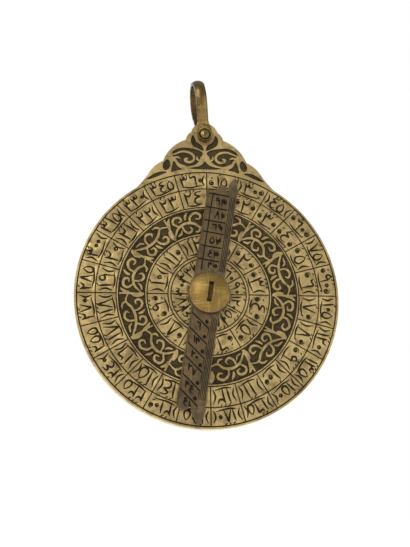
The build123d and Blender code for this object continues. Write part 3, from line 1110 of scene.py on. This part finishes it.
@dataclass
class StarMap:
    """The rete, with the ecliptic's divisions and a chased line along its ring."""

    finish: bpy.types.Material
    tick: float = 0.2
    rim_line: float = 0.7
    mark_start: float = 0.25
    mark_end: float = 1.3
    long_mark_end: float = 2.3
    marks: int = 72
    signs: int = 12

    def cuts(self) -> list[Stroke]:
        """Division marks round the ecliptic ring and a line round the outer ring.

        Returns:
            The strokes.
        """
        capricorn, _, cancer = tropics()
        rim = capricorn - RIM_TO_TROPIC
        radius, height = (capricorn + cancer) / 2, (capricorn - cancer) / 2
        made = [Stroke(arc_points(radius - self.mark_end, 0.3, 360.3, 3.0, (0, height)), self.tick)]
        made.append(Stroke(arc_points(rim - self.rim_line, 0.3, 360.3, 3.0), self.tick))
        for k in range(self.marks):
            reach = self.mark_end if k % (self.marks // self.signs) else self.long_mark_end
            ends = (radius - self.mark_start, radius - reach)
            turned = [turned_point(r, 360 / self.marks * k) for r in ends]
            made.append(Stroke([(x, z + height) for x, z in turned], self.tick))
        return made

    def build(self) -> bpy.types.Object:
        """Makes the chased rete in the place of the plain one."""
        return rear_sheet("chased_rete", "rete", self.finish, self.cuts(), 0.07)


# Geometry nodes

class NodeBoard:
    """A node tree that nodes are laid out on."""

    def __init__(self, tree: bpy.types.NodeTree) -> None:
        """Starts with a tree."""
        self.tree = tree

    def node(self, kind: str, **settings) -> bpy.types.Node:
        """Adds a node.

        Args:
            kind: The node's type.
            settings: Some of its properties.

        Returns:
            The node.
        """
        made = self.tree.nodes.new(kind)
        for key, value in settings.items():
            setattr(made, key, value)
        return made

    def link(self, start: Value, end: Socket) -> None:
        """Joins an output to an input, or sets the input where the start is a plain value.

        Args:
            start: The output or the value.
            end: The input.
        """
        if isinstance(start, bpy.types.NodeSocket):
            self.tree.links.new(start, end)
        else:
            end.default_value = start

    def math(self, operation: str, a: Value, b: Value = 0.0) -> Socket:
        """Works one operation on two values.

        Args:
            operation: Its name.
            a: The first value.
            b: The second value.

        Returns:
            The result.
        """
        made = self.node("ShaderNodeMath", operation=operation)
        self.link(a, made.inputs[0])
        self.link(b, made.inputs[1])
        return made.outputs[0]


class Recipe(NodeBoard):
    """A node group with named inputs, made in the script and used once on one object."""

    def __init__(self, name: str, inputs: dict) -> None:
        """Starts a group.

        Args:
            name: The group's name.
            inputs: Each input's name with its value: a number, a whole number or a material.
        """
        super().__init__(bpy.data.node_groups.new(name, "GeometryNodeTree"))
        self.values = inputs
        for way in ("INPUT", "OUTPUT"):
            self.tree.interface.new_socket("Geometry", in_out=way, socket_type="NodeSocketGeometry")
        kinds = {float: "NodeSocketFloat", int: "NodeSocketInt", bpy.types.Material: "NodeSocketMaterial"}
        self.keys = {}
        for label, value in inputs.items():
            socket = self.tree.interface.new_socket(label, in_out="INPUT", socket_type=kinds[type(value)])
            self.keys[label] = socket.identifier
        self.start = self.tree.nodes.new("NodeGroupInput")
        self.end = self.tree.nodes.new("NodeGroupOutput")

    def vector(self, x: Value = 0.0, y: Value = 0.0, z: Value = 0.0) -> Socket:
        """Joins three values into a vector.

        Args:
            x: Its first value.
            y: Its second value.
            z: Its third value.

        Returns:
            The vector.
        """
        made = self.node("ShaderNodeCombineXYZ")
        for socket, value in zip(made.inputs, (x, y, z)):
            self.link(value, socket)
        return made.outputs[0]

    def given(self, label: str) -> Socket:
        """One of the group's own inputs."""
        return self.start.outputs[label]

    def finished(self, geometry: Socket) -> None:
        """Ends the group, with real meshes in place of copies and the finish on them.

        Args:
            geometry: What the group makes.
        """
        real = self.node("GeometryNodeRealizeInstances")
        paint = self.node("GeometryNodeSetMaterial")
        self.link(geometry, real.inputs[0])
        self.link(real.outputs[0], paint.inputs["Geometry"])
        self.link(self.given("Finish"), paint.inputs["Material"])
        self.link(paint.outputs[0], self.end.inputs[0])

    def bake(self, piece: bpy.types.Object, sharp: float = 28.0) -> bpy.types.Object:
        """Runs the group on an object and keeps the result as its plain mesh.

        Args:
            piece: The object.
            sharp: The angle in degrees from which an edge stays sharp.

        Returns:
            A new object with the finished mesh.
        """
        modifier = piece.modifiers.new(self.tree.name, "NODES")
        modifier.node_group = self.tree
        for label, key in self.keys.items():
            modifier[key] = self.values[label]
        bpy.context.view_layer.update()
        evaluated = piece.evaluated_get(bpy.context.evaluated_depsgraph_get())
        mesh = bpy.data.meshes.new_from_object(evaluated)
        name, old = piece.name, piece.data
        piece.modifiers.remove(modifier)
        bpy.data.objects.remove(piece)
        bpy.data.meshes.remove(old)
        mesh.name = name
        mesh.polygons.foreach_set("use_smooth", [True] * len(mesh.polygons))
        mesh.set_sharp_from_angle(angle=math.radians(sharp))
        return linked(name, mesh)


def linked(name: str, data: bpy.types.ID) -> bpy.types.Object:
    """Makes an object and puts it in the scene.

    Args:
        name: Its name.
        data: Its mesh, camera or light.

    Returns:
        The object.
    """
    made = bpy.data.objects.new(name, data)
    bpy.context.scene.collection.objects.link(made)
    return made


@dataclass
class CutDepths:
    """Presses the cuts, the sunk grounds and the rounded rim of a sheet into its face."""

    groove: float
    ground: float
    rim: float
    side: Side
    finish: bpy.types.Material

    def apply(self, sheet: bpy.types.Object) -> bpy.types.Object:
        """Gives a flat sheet its relief.

        Args:
            sheet: The sheet, with how far each point is down each kind of cut.

        Returns:
            The sheet in relief.
        """
        r = Recipe("cut_depths", {
            "Groove depth": self.groove * MM, "Ground depth": self.ground * MM, "Rim drop": self.rim * MM,
            "Inwards": float(-self.side.value), "Finish": self.finish,
        })
        shares = []
        for label in ("ink", "ground", "wear"):
            read = r.node("GeometryNodeInputNamedAttribute", data_type="FLOAT")
            read.inputs["Name"].default_value = label
            shares.append(read.outputs["Attribute"])
        groove = r.math("MULTIPLY", shares[0], r.given("Groove depth"))
        ground = r.math("MULTIPLY", shares[1], r.given("Ground depth"))
        rim = r.math("MULTIPLY", shares[2], r.given("Rim drop"))
        depth = r.math("ADD", r.math("MAXIMUM", groove, ground), rim)
        press = r.node("GeometryNodeSetPosition")
        r.link(r.start.outputs[0], press.inputs["Geometry"])
        r.link(r.vector(0.0, r.math("MULTIPLY", depth, r.given("Inwards"))), press.inputs["Offset"])
        r.finished(press.outputs[0])
        return r.bake(sheet, 24.0)


@dataclass
class TurnedKnobs:
    """The rete's two turned knobs: one waisted profile, spun and set twice."""

    finish: bpy.types.Material
    radius: float = 1.1
    height: float = 2.0
    neck_radius: float = 0.65
    foot: float = 0.25
    neck: float = 0.75
    cap: float = 1.3
    top_radius: float = 0.55
    ring: int = 40
    flat: float = 1e-5
    weld: float = 2e-3

    def outline(self) -> list[Point]:
        """The waisted profile, as radii and heights from the foot up.

        Returns:
            The profile's corners.
        """
        waist = self.neck_radius + 0.12
        return [
            (0.0, 0.0), (self.radius - 0.1, 0.0), (self.radius, 0.06), (self.radius, self.foot),
            (waist, self.neck - 0.2), (self.neck_radius, self.neck), (waist, self.neck + 0.2),
            (self.radius, self.cap), (self.radius - 0.08, self.cap + 0.18),
            (self.top_radius, self.height - 0.08), (self.top_radius - 0.1, self.height), (0.0, self.height),
        ]

    def band(self, recipe: Recipe, low: Point, high: Point) -> Socket:
        """One band of the turned profile.

        Args:
            recipe: The knobs' node group.
            low: Its lower radius and height.
            high: Its upper radius and height.

        Returns:
            The band's mesh.
        """
        size, rise = recipe.given("Radius"), recipe.given("Height")
        cone = recipe.node("GeometryNodeMeshCone", fill_type="NONE")
        recipe.link(recipe.given("Faces round"), cone.inputs["Vertices"])
        recipe.link(recipe.math("MULTIPLY", size, high[0] / self.radius), cone.inputs["Radius Top"])
        recipe.link(recipe.math("MULTIPLY", size, low[0] / self.radius), cone.inputs["Radius Bottom"])
        depth = max(high[1] - low[1], self.flat) / self.height
        recipe.link(recipe.math("MULTIPLY", rise, depth), cone.inputs["Depth"])
        lift = recipe.node("GeometryNodeTransform")
        recipe.link(cone.outputs["Mesh"], lift.inputs["Geometry"])
        level = recipe.math("MULTIPLY", rise, low[1] / self.height)
        recipe.link(recipe.vector(0.0, 0.0, level), lift.inputs["Translation"])
        return lift.outputs[0]

    def build(self) -> bpy.types.Object:
        """Makes both knobs in the places of the plain ones.

        Returns:
            The knobs, as one object.
        """
        low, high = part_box("rete_knobs")
        level = low.z + self.radius * MM
        spots = [(low.x + self.radius * MM, low.y, level), (high.x - self.radius * MM, low.y, level)]
        mesh = bpy.data.meshes.new("turned_knobs")
        mesh.from_pydata(spots, [], [])
        r = Recipe("turned_knobs", {
            "Radius": self.radius * MM, "Height": self.height * MM, "Faces round": self.ring,
            "Finish": self.finish,
        })
        stack = r.node("GeometryNodeJoinGeometry")
        outline = self.outline()
        for start, end in zip(outline, outline[1:]):
            r.link(self.band(r, start, end), stack.inputs[0])
        weld = r.node("GeometryNodeMergeByDistance")
        weld.inputs["Distance"].default_value = self.weld * MM
        r.link(stack.outputs[0], weld.inputs["Geometry"])
        turn = r.node("GeometryNodeTransform")
        turn.inputs["Rotation"].default_value = (math.radians(-90), 0.0, 0.0)
        r.link(weld.outputs[0], turn.inputs["Geometry"])
        points = r.node("GeometryNodeMeshToPoints")
        r.link(r.start.outputs[0], points.inputs["Mesh"])
        place = r.node("GeometryNodeInstanceOnPoints")
        r.link(points.outputs[0], place.inputs["Points"])
        r.link(turn.outputs[0], place.inputs["Instance"])
        r.finished(place.outputs[0])
        return r.bake(linked("turned_knobs", mesh), 30.0)


# Finishes

class Bench(NodeBoard):
    """Lays out one material's nodes."""

    def __init__(self, name: str) -> None:
        """Starts a material with a shader and its output.

        Args:
            name: The material's name.
        """
        self.material = bpy.data.materials.new(name)
        self.material.use_nodes = True
        super().__init__(self.material.node_tree)
        self.tree.nodes.clear()
        self.output = self.node("ShaderNodeOutputMaterial")
        self.shader = self.node("ShaderNodeBsdfPrincipled")
        self.link(self.shader.outputs[0], self.output.inputs["Surface"])

    def noise(
        self, coordinates: Socket, scale: float, detail: float = 4.0, roughness: float = 0.55
    ) -> Socket:
        """Makes a noise pattern.

        Args:
            coordinates: Where it is read.
            scale: How many of its patches fit in a unit.
            detail: How many finer layers it has.
            roughness: How strong they are.

        Returns:
            Its value.
        """
        made = self.node("ShaderNodeTexNoise")
        self.link(coordinates, made.inputs["Vector"])
        made.inputs["Scale"].default_value = scale
        made.inputs["Detail"].default_value = detail
        made.inputs["Roughness"].default_value = roughness
        return made.outputs["Fac"]

    def span(self, value: Value, low: float, high: float, start: float = 0.0, end: float = 1.0) -> Socket:
        """Stretches a value from one range to another, and keeps it within that.

        Args:
            value: The value.
            low: Where its range starts.
            high: Where its range ends.
            start: What the low end becomes.
            end: What the high end becomes.

        Returns:
            The new value.
        """
        made = self.node("ShaderNodeMapRange")
        self.link(value, made.inputs["Value"])
        for socket, number in zip(("From Min", "From Max", "To Min", "To Max"), (low, high, start, end)):
            made.inputs[socket].default_value = number
        return made.outputs["Result"]

    def mix(self, share: Value, a: Socket | Colour, b: Socket | Colour) -> Socket:
        """Mixes two colours.

        Args:
            share: How much of the second there is.
            a: The first colour.
            b: The second colour.

        Returns:
            The colour between them.
        """
        made = self.node("ShaderNodeMix", data_type="RGBA")
        self.link(share, made.inputs["Factor"])
        for socket, value in ((made.inputs[6], a), (made.inputs[7], b)):
            self.link((*value, 1.0) if isinstance(value, tuple) else value, socket)
        return made.outputs[2]

    def attribute(self, name: str) -> Socket:
        """A value stored on the mesh."""
        made = self.node("ShaderNodeAttribute", attribute_name=name)
        return made.outputs["Fac"]

    def stretched(self, scale: tuple[float, float, float], turn: float = 0.0) -> Socket:
        """Takes the object's own coordinates in millimetres, turned about Y and stretched.

        Args:
            scale: How far they are stretched along each axis.
            turn: How far they are turned, in degrees.

        Returns:
            The coordinates.
        """
        coordinates = self.node("ShaderNodeTexCoord").outputs["Object"]
        made = self.node("ShaderNodeMapping")
        self.link(coordinates, made.inputs["Vector"])
        made.inputs["Rotation"].default_value = (0.0, math.radians(turn), 0.0)
        made.inputs["Scale"].default_value = tuple(s / MM for s in scale)
        return made.outputs["Vector"]


@dataclass(frozen=True)
class BrassFinish:
    """Aged brass: its tones, its dirt, its wear and a painted shade in its crevices."""

    name: str
    light: Colour
    dark: Colour
    tint: Colour
    ink: Colour = (0.006, 0.003, 0.0012)
    worn: Colour = (0.6, 0.5, 0.26)
    metallic: float = 0.75
    rough_low: float = 0.34
    rough_high: float = 0.56
    tarnish: float = 0.45
    hatch: float = 0.0
    scratch: float = 0.5
    bump: float = 0.35
    # Painted shade: how dark crevices and hollows are painted, and how far that darkening reaches.
    crevice: float = 0.92
    crevice_reach: float = 1.6

    def radial_hatch(self, bench: Bench) -> Socket:
        """Lays fine dark lines across the sunk grounds, fanned about the pivot.

        Args:
            bench: The material's nodes.

        Returns:
            How dark each spot is.
        """
        place = bench.node("ShaderNodeSeparateXYZ")
        bench.link(bench.stretched((1, 1, 1)), place.inputs[0])
        x = bench.math("SUBTRACT", place.outputs[0], PIVOT[0])
        z = bench.math("SUBTRACT", place.outputs[2], PIVOT[1])
        angle = bench.math("ARCTAN2", z, x)
        square = bench.math("ADD", bench.math("MULTIPLY", x, x), bench.math("MULTIPLY", z, z))
        radius = bench.math("SQRT", square)
        lean = bench.math("MULTIPLY", radius, 0.035)
        wave = bench.math("SINE", bench.math("MULTIPLY", bench.math("ADD", angle, lean), self.hatch))
        return bench.span(wave, -0.4, 0.7)

    def build(self) -> bpy.types.Material:
        """Makes the material.

        Returns:
            The material.
        """
        b = Bench(self.name)
        plain = b.stretched((1, 1, 1))
        broad = b.noise(plain, 0.075, 3)
        middle = b.noise(plain, 0.42, 5, 0.6)
        fine = b.noise(plain, 3.2, 4, 0.65)
        pits = b.noise(plain, 1.7, 6, 0.7)
        scratch_a = b.noise(b.stretched((0.16, 0.16, 5.0), 24), 1.0, 3)
        scratch_b = b.noise(b.stretched((4.2, 0.16, 0.14), -16), 1.0, 3)
        colour = b.mix(b.span(broad, 0.36, 0.66), self.light, self.tint)
        patches = b.math("MULTIPLY", b.span(middle, 0.44, 0.7), self.tarnish)
        colour = b.mix(patches, colour, self.dark)
        specks = b.math("MULTIPLY", b.span(pits, 0.6, 0.76), 0.55)
        colour = b.mix(specks, colour, self.dark)
        lines = b.math("MAXIMUM", b.span(scratch_a, 0.6, 0.68), b.span(scratch_b, 0.61, 0.69))
        colour = b.mix(b.math("MULTIPLY", lines, self.scratch * 0.5), colour, self.worn)
        wear = b.math("MULTIPLY", b.attribute("wear"), b.span(fine, 0.3, 0.6, 0.35, 0.9))
        colour = b.mix(wear, colour, self.worn)
        ground = b.attribute("ground")
        if self.hatch:
            shade = b.span(self.radial_hatch(b), 0, 1, 0.78, 1.0)
        else:
            shade = b.span(fine, 0.3, 0.7, 0.75, 0.95)
        ground_share = b.math("MULTIPLY", b.span(ground, 0.05, 0.5), shade)
        colour = b.mix(ground_share, colour, self.ink)
        ink = b.span(b.attribute("ink"), 0.02, 0.2)
        colour = b.mix(b.math("MULTIPLY", ink, b.span(fine, 0.25, 0.75, 1.0, 0.86)), colour, self.ink)
        # Painted shade: hollows that the piece's own shape encloses, such as grooves, the pin's slot and the
        # shackle's inside, are darkened towards the ink colour by ambient occlusion.
        painted_shade_occlusion = b.node("ShaderNodeAmbientOcclusion", only_local=True, samples=8)
        painted_shade_occlusion.inputs["Distance"].default_value = self.crevice_reach * MM
        colour = b.mix(b.span(painted_shade_occlusion.outputs["AO"], 0.3, 0.85, self.crevice, 0.0), colour, self.ink)
        b.link(colour, b.shader.inputs["Base Color"])
        b.shader.inputs["Metallic"].default_value = self.metallic
        b.shader.inputs["Specular IOR Level"].default_value = 0.22
        grain = b.math("ADD", b.math("MULTIPLY", middle, 0.6), b.math("MULTIPLY", fine, 0.4))
        rough = b.span(grain, 0.35, 0.65, self.rough_low, self.rough_high)
        rough = b.math("MAXIMUM", rough, b.math("MULTIPLY", b.math("MAXIMUM", ink, ground_share), 0.8))
        b.link(rough, b.shader.inputs["Roughness"])
        height = b.math("ADD", b.math("MULTIPLY", fine, 0.5), b.math("MULTIPLY", pits, -0.6))
        height = b.math("ADD", height, b.math("MULTIPLY", lines, -0.4 * self.scratch))
        bump = b.node("ShaderNodeBump")
        bump.inputs["Strength"].default_value = self.bump
        bump.inputs["Distance"].default_value = 0.06 * MM
        b.link(height, bump.inputs["Height"])
        b.link(bump.outputs["Normal"], b.shader.inputs["Normal"])
        return b.material


PLATE = BrassFinish(
    "plate_brass", (0.385, 0.285, 0.12), (0.1, 0.068, 0.028), (0.25, 0.18, 0.077), worn=(0.66, 0.53, 0.27),
    tarnish=0.85, hatch=300.0,
)
BACK_PLATE = BrassFinish(
    "tympan_brass", (0.17, 0.125, 0.055), (0.06, 0.042, 0.02), (0.12, 0.088, 0.038), tarnish=0.7,
)
RETE = BrassFinish(
    "rete_brass", (0.4, 0.28, 0.1), (0.14, 0.095, 0.035), (0.36, 0.25, 0.095), rough_low=0.3,
)
DARK = BrassFinish(
    "dark_brass", (0.1, 0.066, 0.027), (0.03, 0.021, 0.011), (0.068, 0.047, 0.024), worn=(0.26, 0.2, 0.11),
    metallic=0.55, rough_low=0.42, rough_high=0.62, tarnish=0.7,
)
GOLDEN = BrassFinish(
    "golden_brass", (0.19, 0.118, 0.03), (0.085, 0.052, 0.014), (0.15, 0.092, 0.024), rough_low=0.42,
    rough_high=0.6, tarnish=0.5, bump=0.5,
)
# The wide reach paints the inside of the shackle's loop in shade.
BRONZE = BrassFinish(
    "shackle_bronze", (0.13, 0.085, 0.026), (0.03, 0.02, 0.007), (0.085, 0.055, 0.018),
    worn=(0.62, 0.47, 0.2), rough_low=0.26, rough_high=0.42, tarnish=0.6, crevice_reach=14.0,
)


@dataclass(frozen=True)
class Dressing:
    """A CAD piece that keeps its shape, with its name when smoothed, its body and its finish."""

    node: str
    name: str
    body: str
    finish: BrassFinish


def smoothed_copy(dressing: Dressing) -> bpy.types.Object:
    """A copy of a CAD piece with its corners merged and its curves smooth.

    Args:
        dressing: The piece and its new name.

    Returns:
        The copy.
    """
    solid = bmesh.new()
    solid.from_mesh(frame["nodes"][dressing.node].data)
    bmesh.ops.remove_doubles(solid, verts=solid.verts, dist=1e-7)
    mesh = bpy.data.meshes.new(dressing.name)
    solid.to_mesh(mesh)
    solid.free()
    mesh.polygons.foreach_set("use_smooth", [True] * len(mesh.polygons))
    mesh.set_sharp_from_angle(angle=math.radians(28))
    return linked(dressing.name, mesh)


def fit(piece: bpy.types.Object, body: str, nodes: list[str], slot: str) -> None:
    """Gives a piece its body, and puts it in the place of its CAD pieces.

    Args:
        piece: The new piece.
        body: The body it moves with.
        nodes: The CAD pieces it stands for.
        slot: The name of its finish; not used.
    """
    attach(piece, body)
    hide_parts(*nodes)
    LOG.info("%s: %d faces, on %s", piece.name, len(piece.data.polygons), body)


# Studio

@dataclass
class Studio:
    """The camera that took the picture, a pale floor and soft light."""

    tilt: float = 17.4
    lean: float = 65.0
    roll: float = -0.55
    distance: float = 834.0
    half_height: float = 273.5
    offset: Point = (3.8, -20.8)
    scale: float = 0.29817
    floor_drop: float = 160.0
    floor_half: float = 6.0
    lamp_size: float = 0.6

    def axes(self) -> tuple[np.ndarray, np.ndarray, np.ndarray]:
        """Works out the camera's directions in the frame's axes.

        Returns:
            Its right, up and back directions.
        """
        t, d, roll = (math.radians(a) for a in (self.tilt, self.lean, self.roll))
        normal = np.array([math.sin(t) * math.cos(d), math.sin(t) * math.sin(d), math.cos(t)])
        up = np.array([0.0, 1.0, 0.0]) - normal * normal[1]
        up /= np.linalg.norm(up)
        right = np.cross(up, normal)
        across = right * math.cos(roll) + up * math.sin(roll)
        upward = -right * math.sin(roll) + up * math.cos(roll)
        return tuple(np.array([across[i], -normal[i], upward[i]]) for i in range(3))

    def camera(self) -> None:
        """Sets the camera where the picture was taken from."""
        right, up, back = self.axes()
        face = np.array([PIVOT[0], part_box("mater_plate")[0].y / MM, PIVOT[1]])
        place = face + self.scale * (-self.offset[0] * right - self.offset[1] * up + self.distance * back)
        data = bpy.data.cameras.new("camera")
        data.lens = data.sensor_width / 2 * self.distance / self.half_height
        data.clip_start, data.clip_end = 0.01, 20.0
        made = linked("camera", data)
        rows = np.c_[right, up, back, place * MM]
        made.matrix_world = Matrix([*rows.tolist(), [0.0, 0.0, 0.0, 1.0]])
        bpy.context.scene.camera = made

    def lamp(self, name: str, place: tuple[float, float, float], power: float, colour: Colour) -> None:
        """Adds one soft square lamp that faces the disc.

        Args:
            name: Its name.
            place: Where it stands, in metres.
            power: Its power in watts.
            colour: Its colour.
        """
        data = bpy.data.lights.new(name, "AREA")
        data.size, data.energy, data.color = self.lamp_size, power, colour
        made = linked(name, data)
        made.location = place
        aim = Vector((PIVOT[0] * MM, 0.0, PIVOT[1] * MM)) - Vector(place)
        made.rotation_euler = aim.to_track_quat("-Z", "Y").to_euler()

    def floor(self) -> None:
        """Lays the pale floor, which the camera sees as white."""
        level = (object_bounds()[0].z / MM - self.floor_drop) * MM
        mesh = bpy.data.meshes.new("floor")
        half = self.floor_half
        corners = [(-half, -half, level), (half, -half, level), (half, half, level), (-half, half, level)]
        mesh.from_pydata(corners, [], [(0, 1, 2, 3)])
        made = linked("floor", mesh)
        b = Bench("floor")
        b.shader.inputs["Base Color"].default_value = (0.9, 0.9, 0.9, 1)
        b.shader.inputs["Roughness"].default_value = 0.9
        glow = b.node("ShaderNodeEmission")
        rays = b.node("ShaderNodeLightPath")
        seen = b.math("MAXIMUM", rays.outputs["Is Camera Ray"], rays.outputs["Is Glossy Ray"])
        seen = b.math("MAXIMUM", seen, rays.outputs["Is Transmission Ray"])
        b.link(seen, glow.inputs["Strength"])
        added = b.node("ShaderNodeAddShader")
        b.link(b.shader.outputs[0], added.inputs[0])
        b.link(glow.outputs[0], added.inputs[1])
        b.link(added.outputs[0], b.output.inputs["Surface"])
        mesh.materials.append(b.material)
        made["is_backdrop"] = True

    def world(self) -> None:
        """A plain sky: white to the camera, softer as light."""
        made = bpy.data.worlds.new("studio")
        bpy.context.scene.world = made
        made.use_nodes = True
        tree = made.node_tree
        tree.nodes.clear()
        output = tree.nodes.new("ShaderNodeOutputWorld")
        sky = tree.nodes.new("ShaderNodeBackground")
        rays = tree.nodes.new("ShaderNodeLightPath")
        share = tree.nodes.new("ShaderNodeMapRange")
        share.inputs["To Min"].default_value = 0.55
        share.inputs["To Max"].default_value = 1.0
        tree.links.new(rays.outputs["Is Camera Ray"], share.inputs["Value"])
        tree.links.new(share.outputs["Result"], sky.inputs["Strength"])
        sky.inputs["Color"].default_value = (1.0, 1.0, 1.0, 1.0)
        tree.links.new(sky.outputs[0], output.inputs["Surface"])

    def build(self) -> None:
        """Sets up the whole studio."""
        self.camera()
        self.world()
        self.floor()
        self.lamp("key", (-0.5, -0.75, 0.45), 9.0, (1.0, 0.98, 0.95))
        self.lamp("fill", (0.7, -0.6, 0.05), 3.0, (0.96, 0.98, 1.0))
        self.lamp("back", (0.1, 0.9, 0.4), 3.0, (1.0, 1.0, 1.0))
        bpy.context.scene.view_settings.view_transform = "Standard"


def main() -> None:
    """Builds every piece in order and reports each."""
    logging.basicConfig(level=logging.INFO, format="%(name)s: %(message)s")
    Studio().build()
    finishes = {f.name: f.build() for f in (PLATE, BACK_PLATE, RETE, DARK, GOLDEN, BRONZE)}
    dressed = [
        (EngravedPlate, "mater", "mater_plate", PLATE),
        (Rule, "alidade", "alidade", DARK),
        (Limb, "mater", "limb", PLATE),
        (LatitudePlate, "mater", "tympan_4", BACK_PLATE),
        (StarMap, "rete", "rete", RETE),
        (TurnedKnobs, "rete", "rete_knobs", GOLDEN),
    ]
    for maker, body, node, finish in dressed:
        fit(maker(finishes[finish.name]).build(), body, [node], finish.name)
    plain = [
        Dressing("pin", "centre_pin", "pin", GOLDEN),
        Dressing("horse_washer", "wedge_collar", "pin", GOLDEN),
        Dressing("horse", "horse_wedge", "horse", GOLDEN),
        Dressing("shackle", "hanging_shackle", "shackle", BRONZE),
        Dressing("shackle_rivet", "domed_rivet", "shackle", BRONZE),
        Dressing("rivet_burr", "burr_washer", "shackle", BRONZE),
    ]
    for dressing in plain:
        piece = smoothed_copy(dressing)
        piece.data.materials.append(finishes[dressing.finish.name])
        fit(piece, dressing.body, [dressing.node], dressing.finish.name)
    for number in (1, 2, 3):
        node = frame["nodes"][f"tympan_{number}"]
        node.data.materials.clear()
        node.data.materials.append(finishes["tympan_brass"])
        LOG.info("%s keeps its own shape", node.name)


if __name__ == "__main__":
    main()
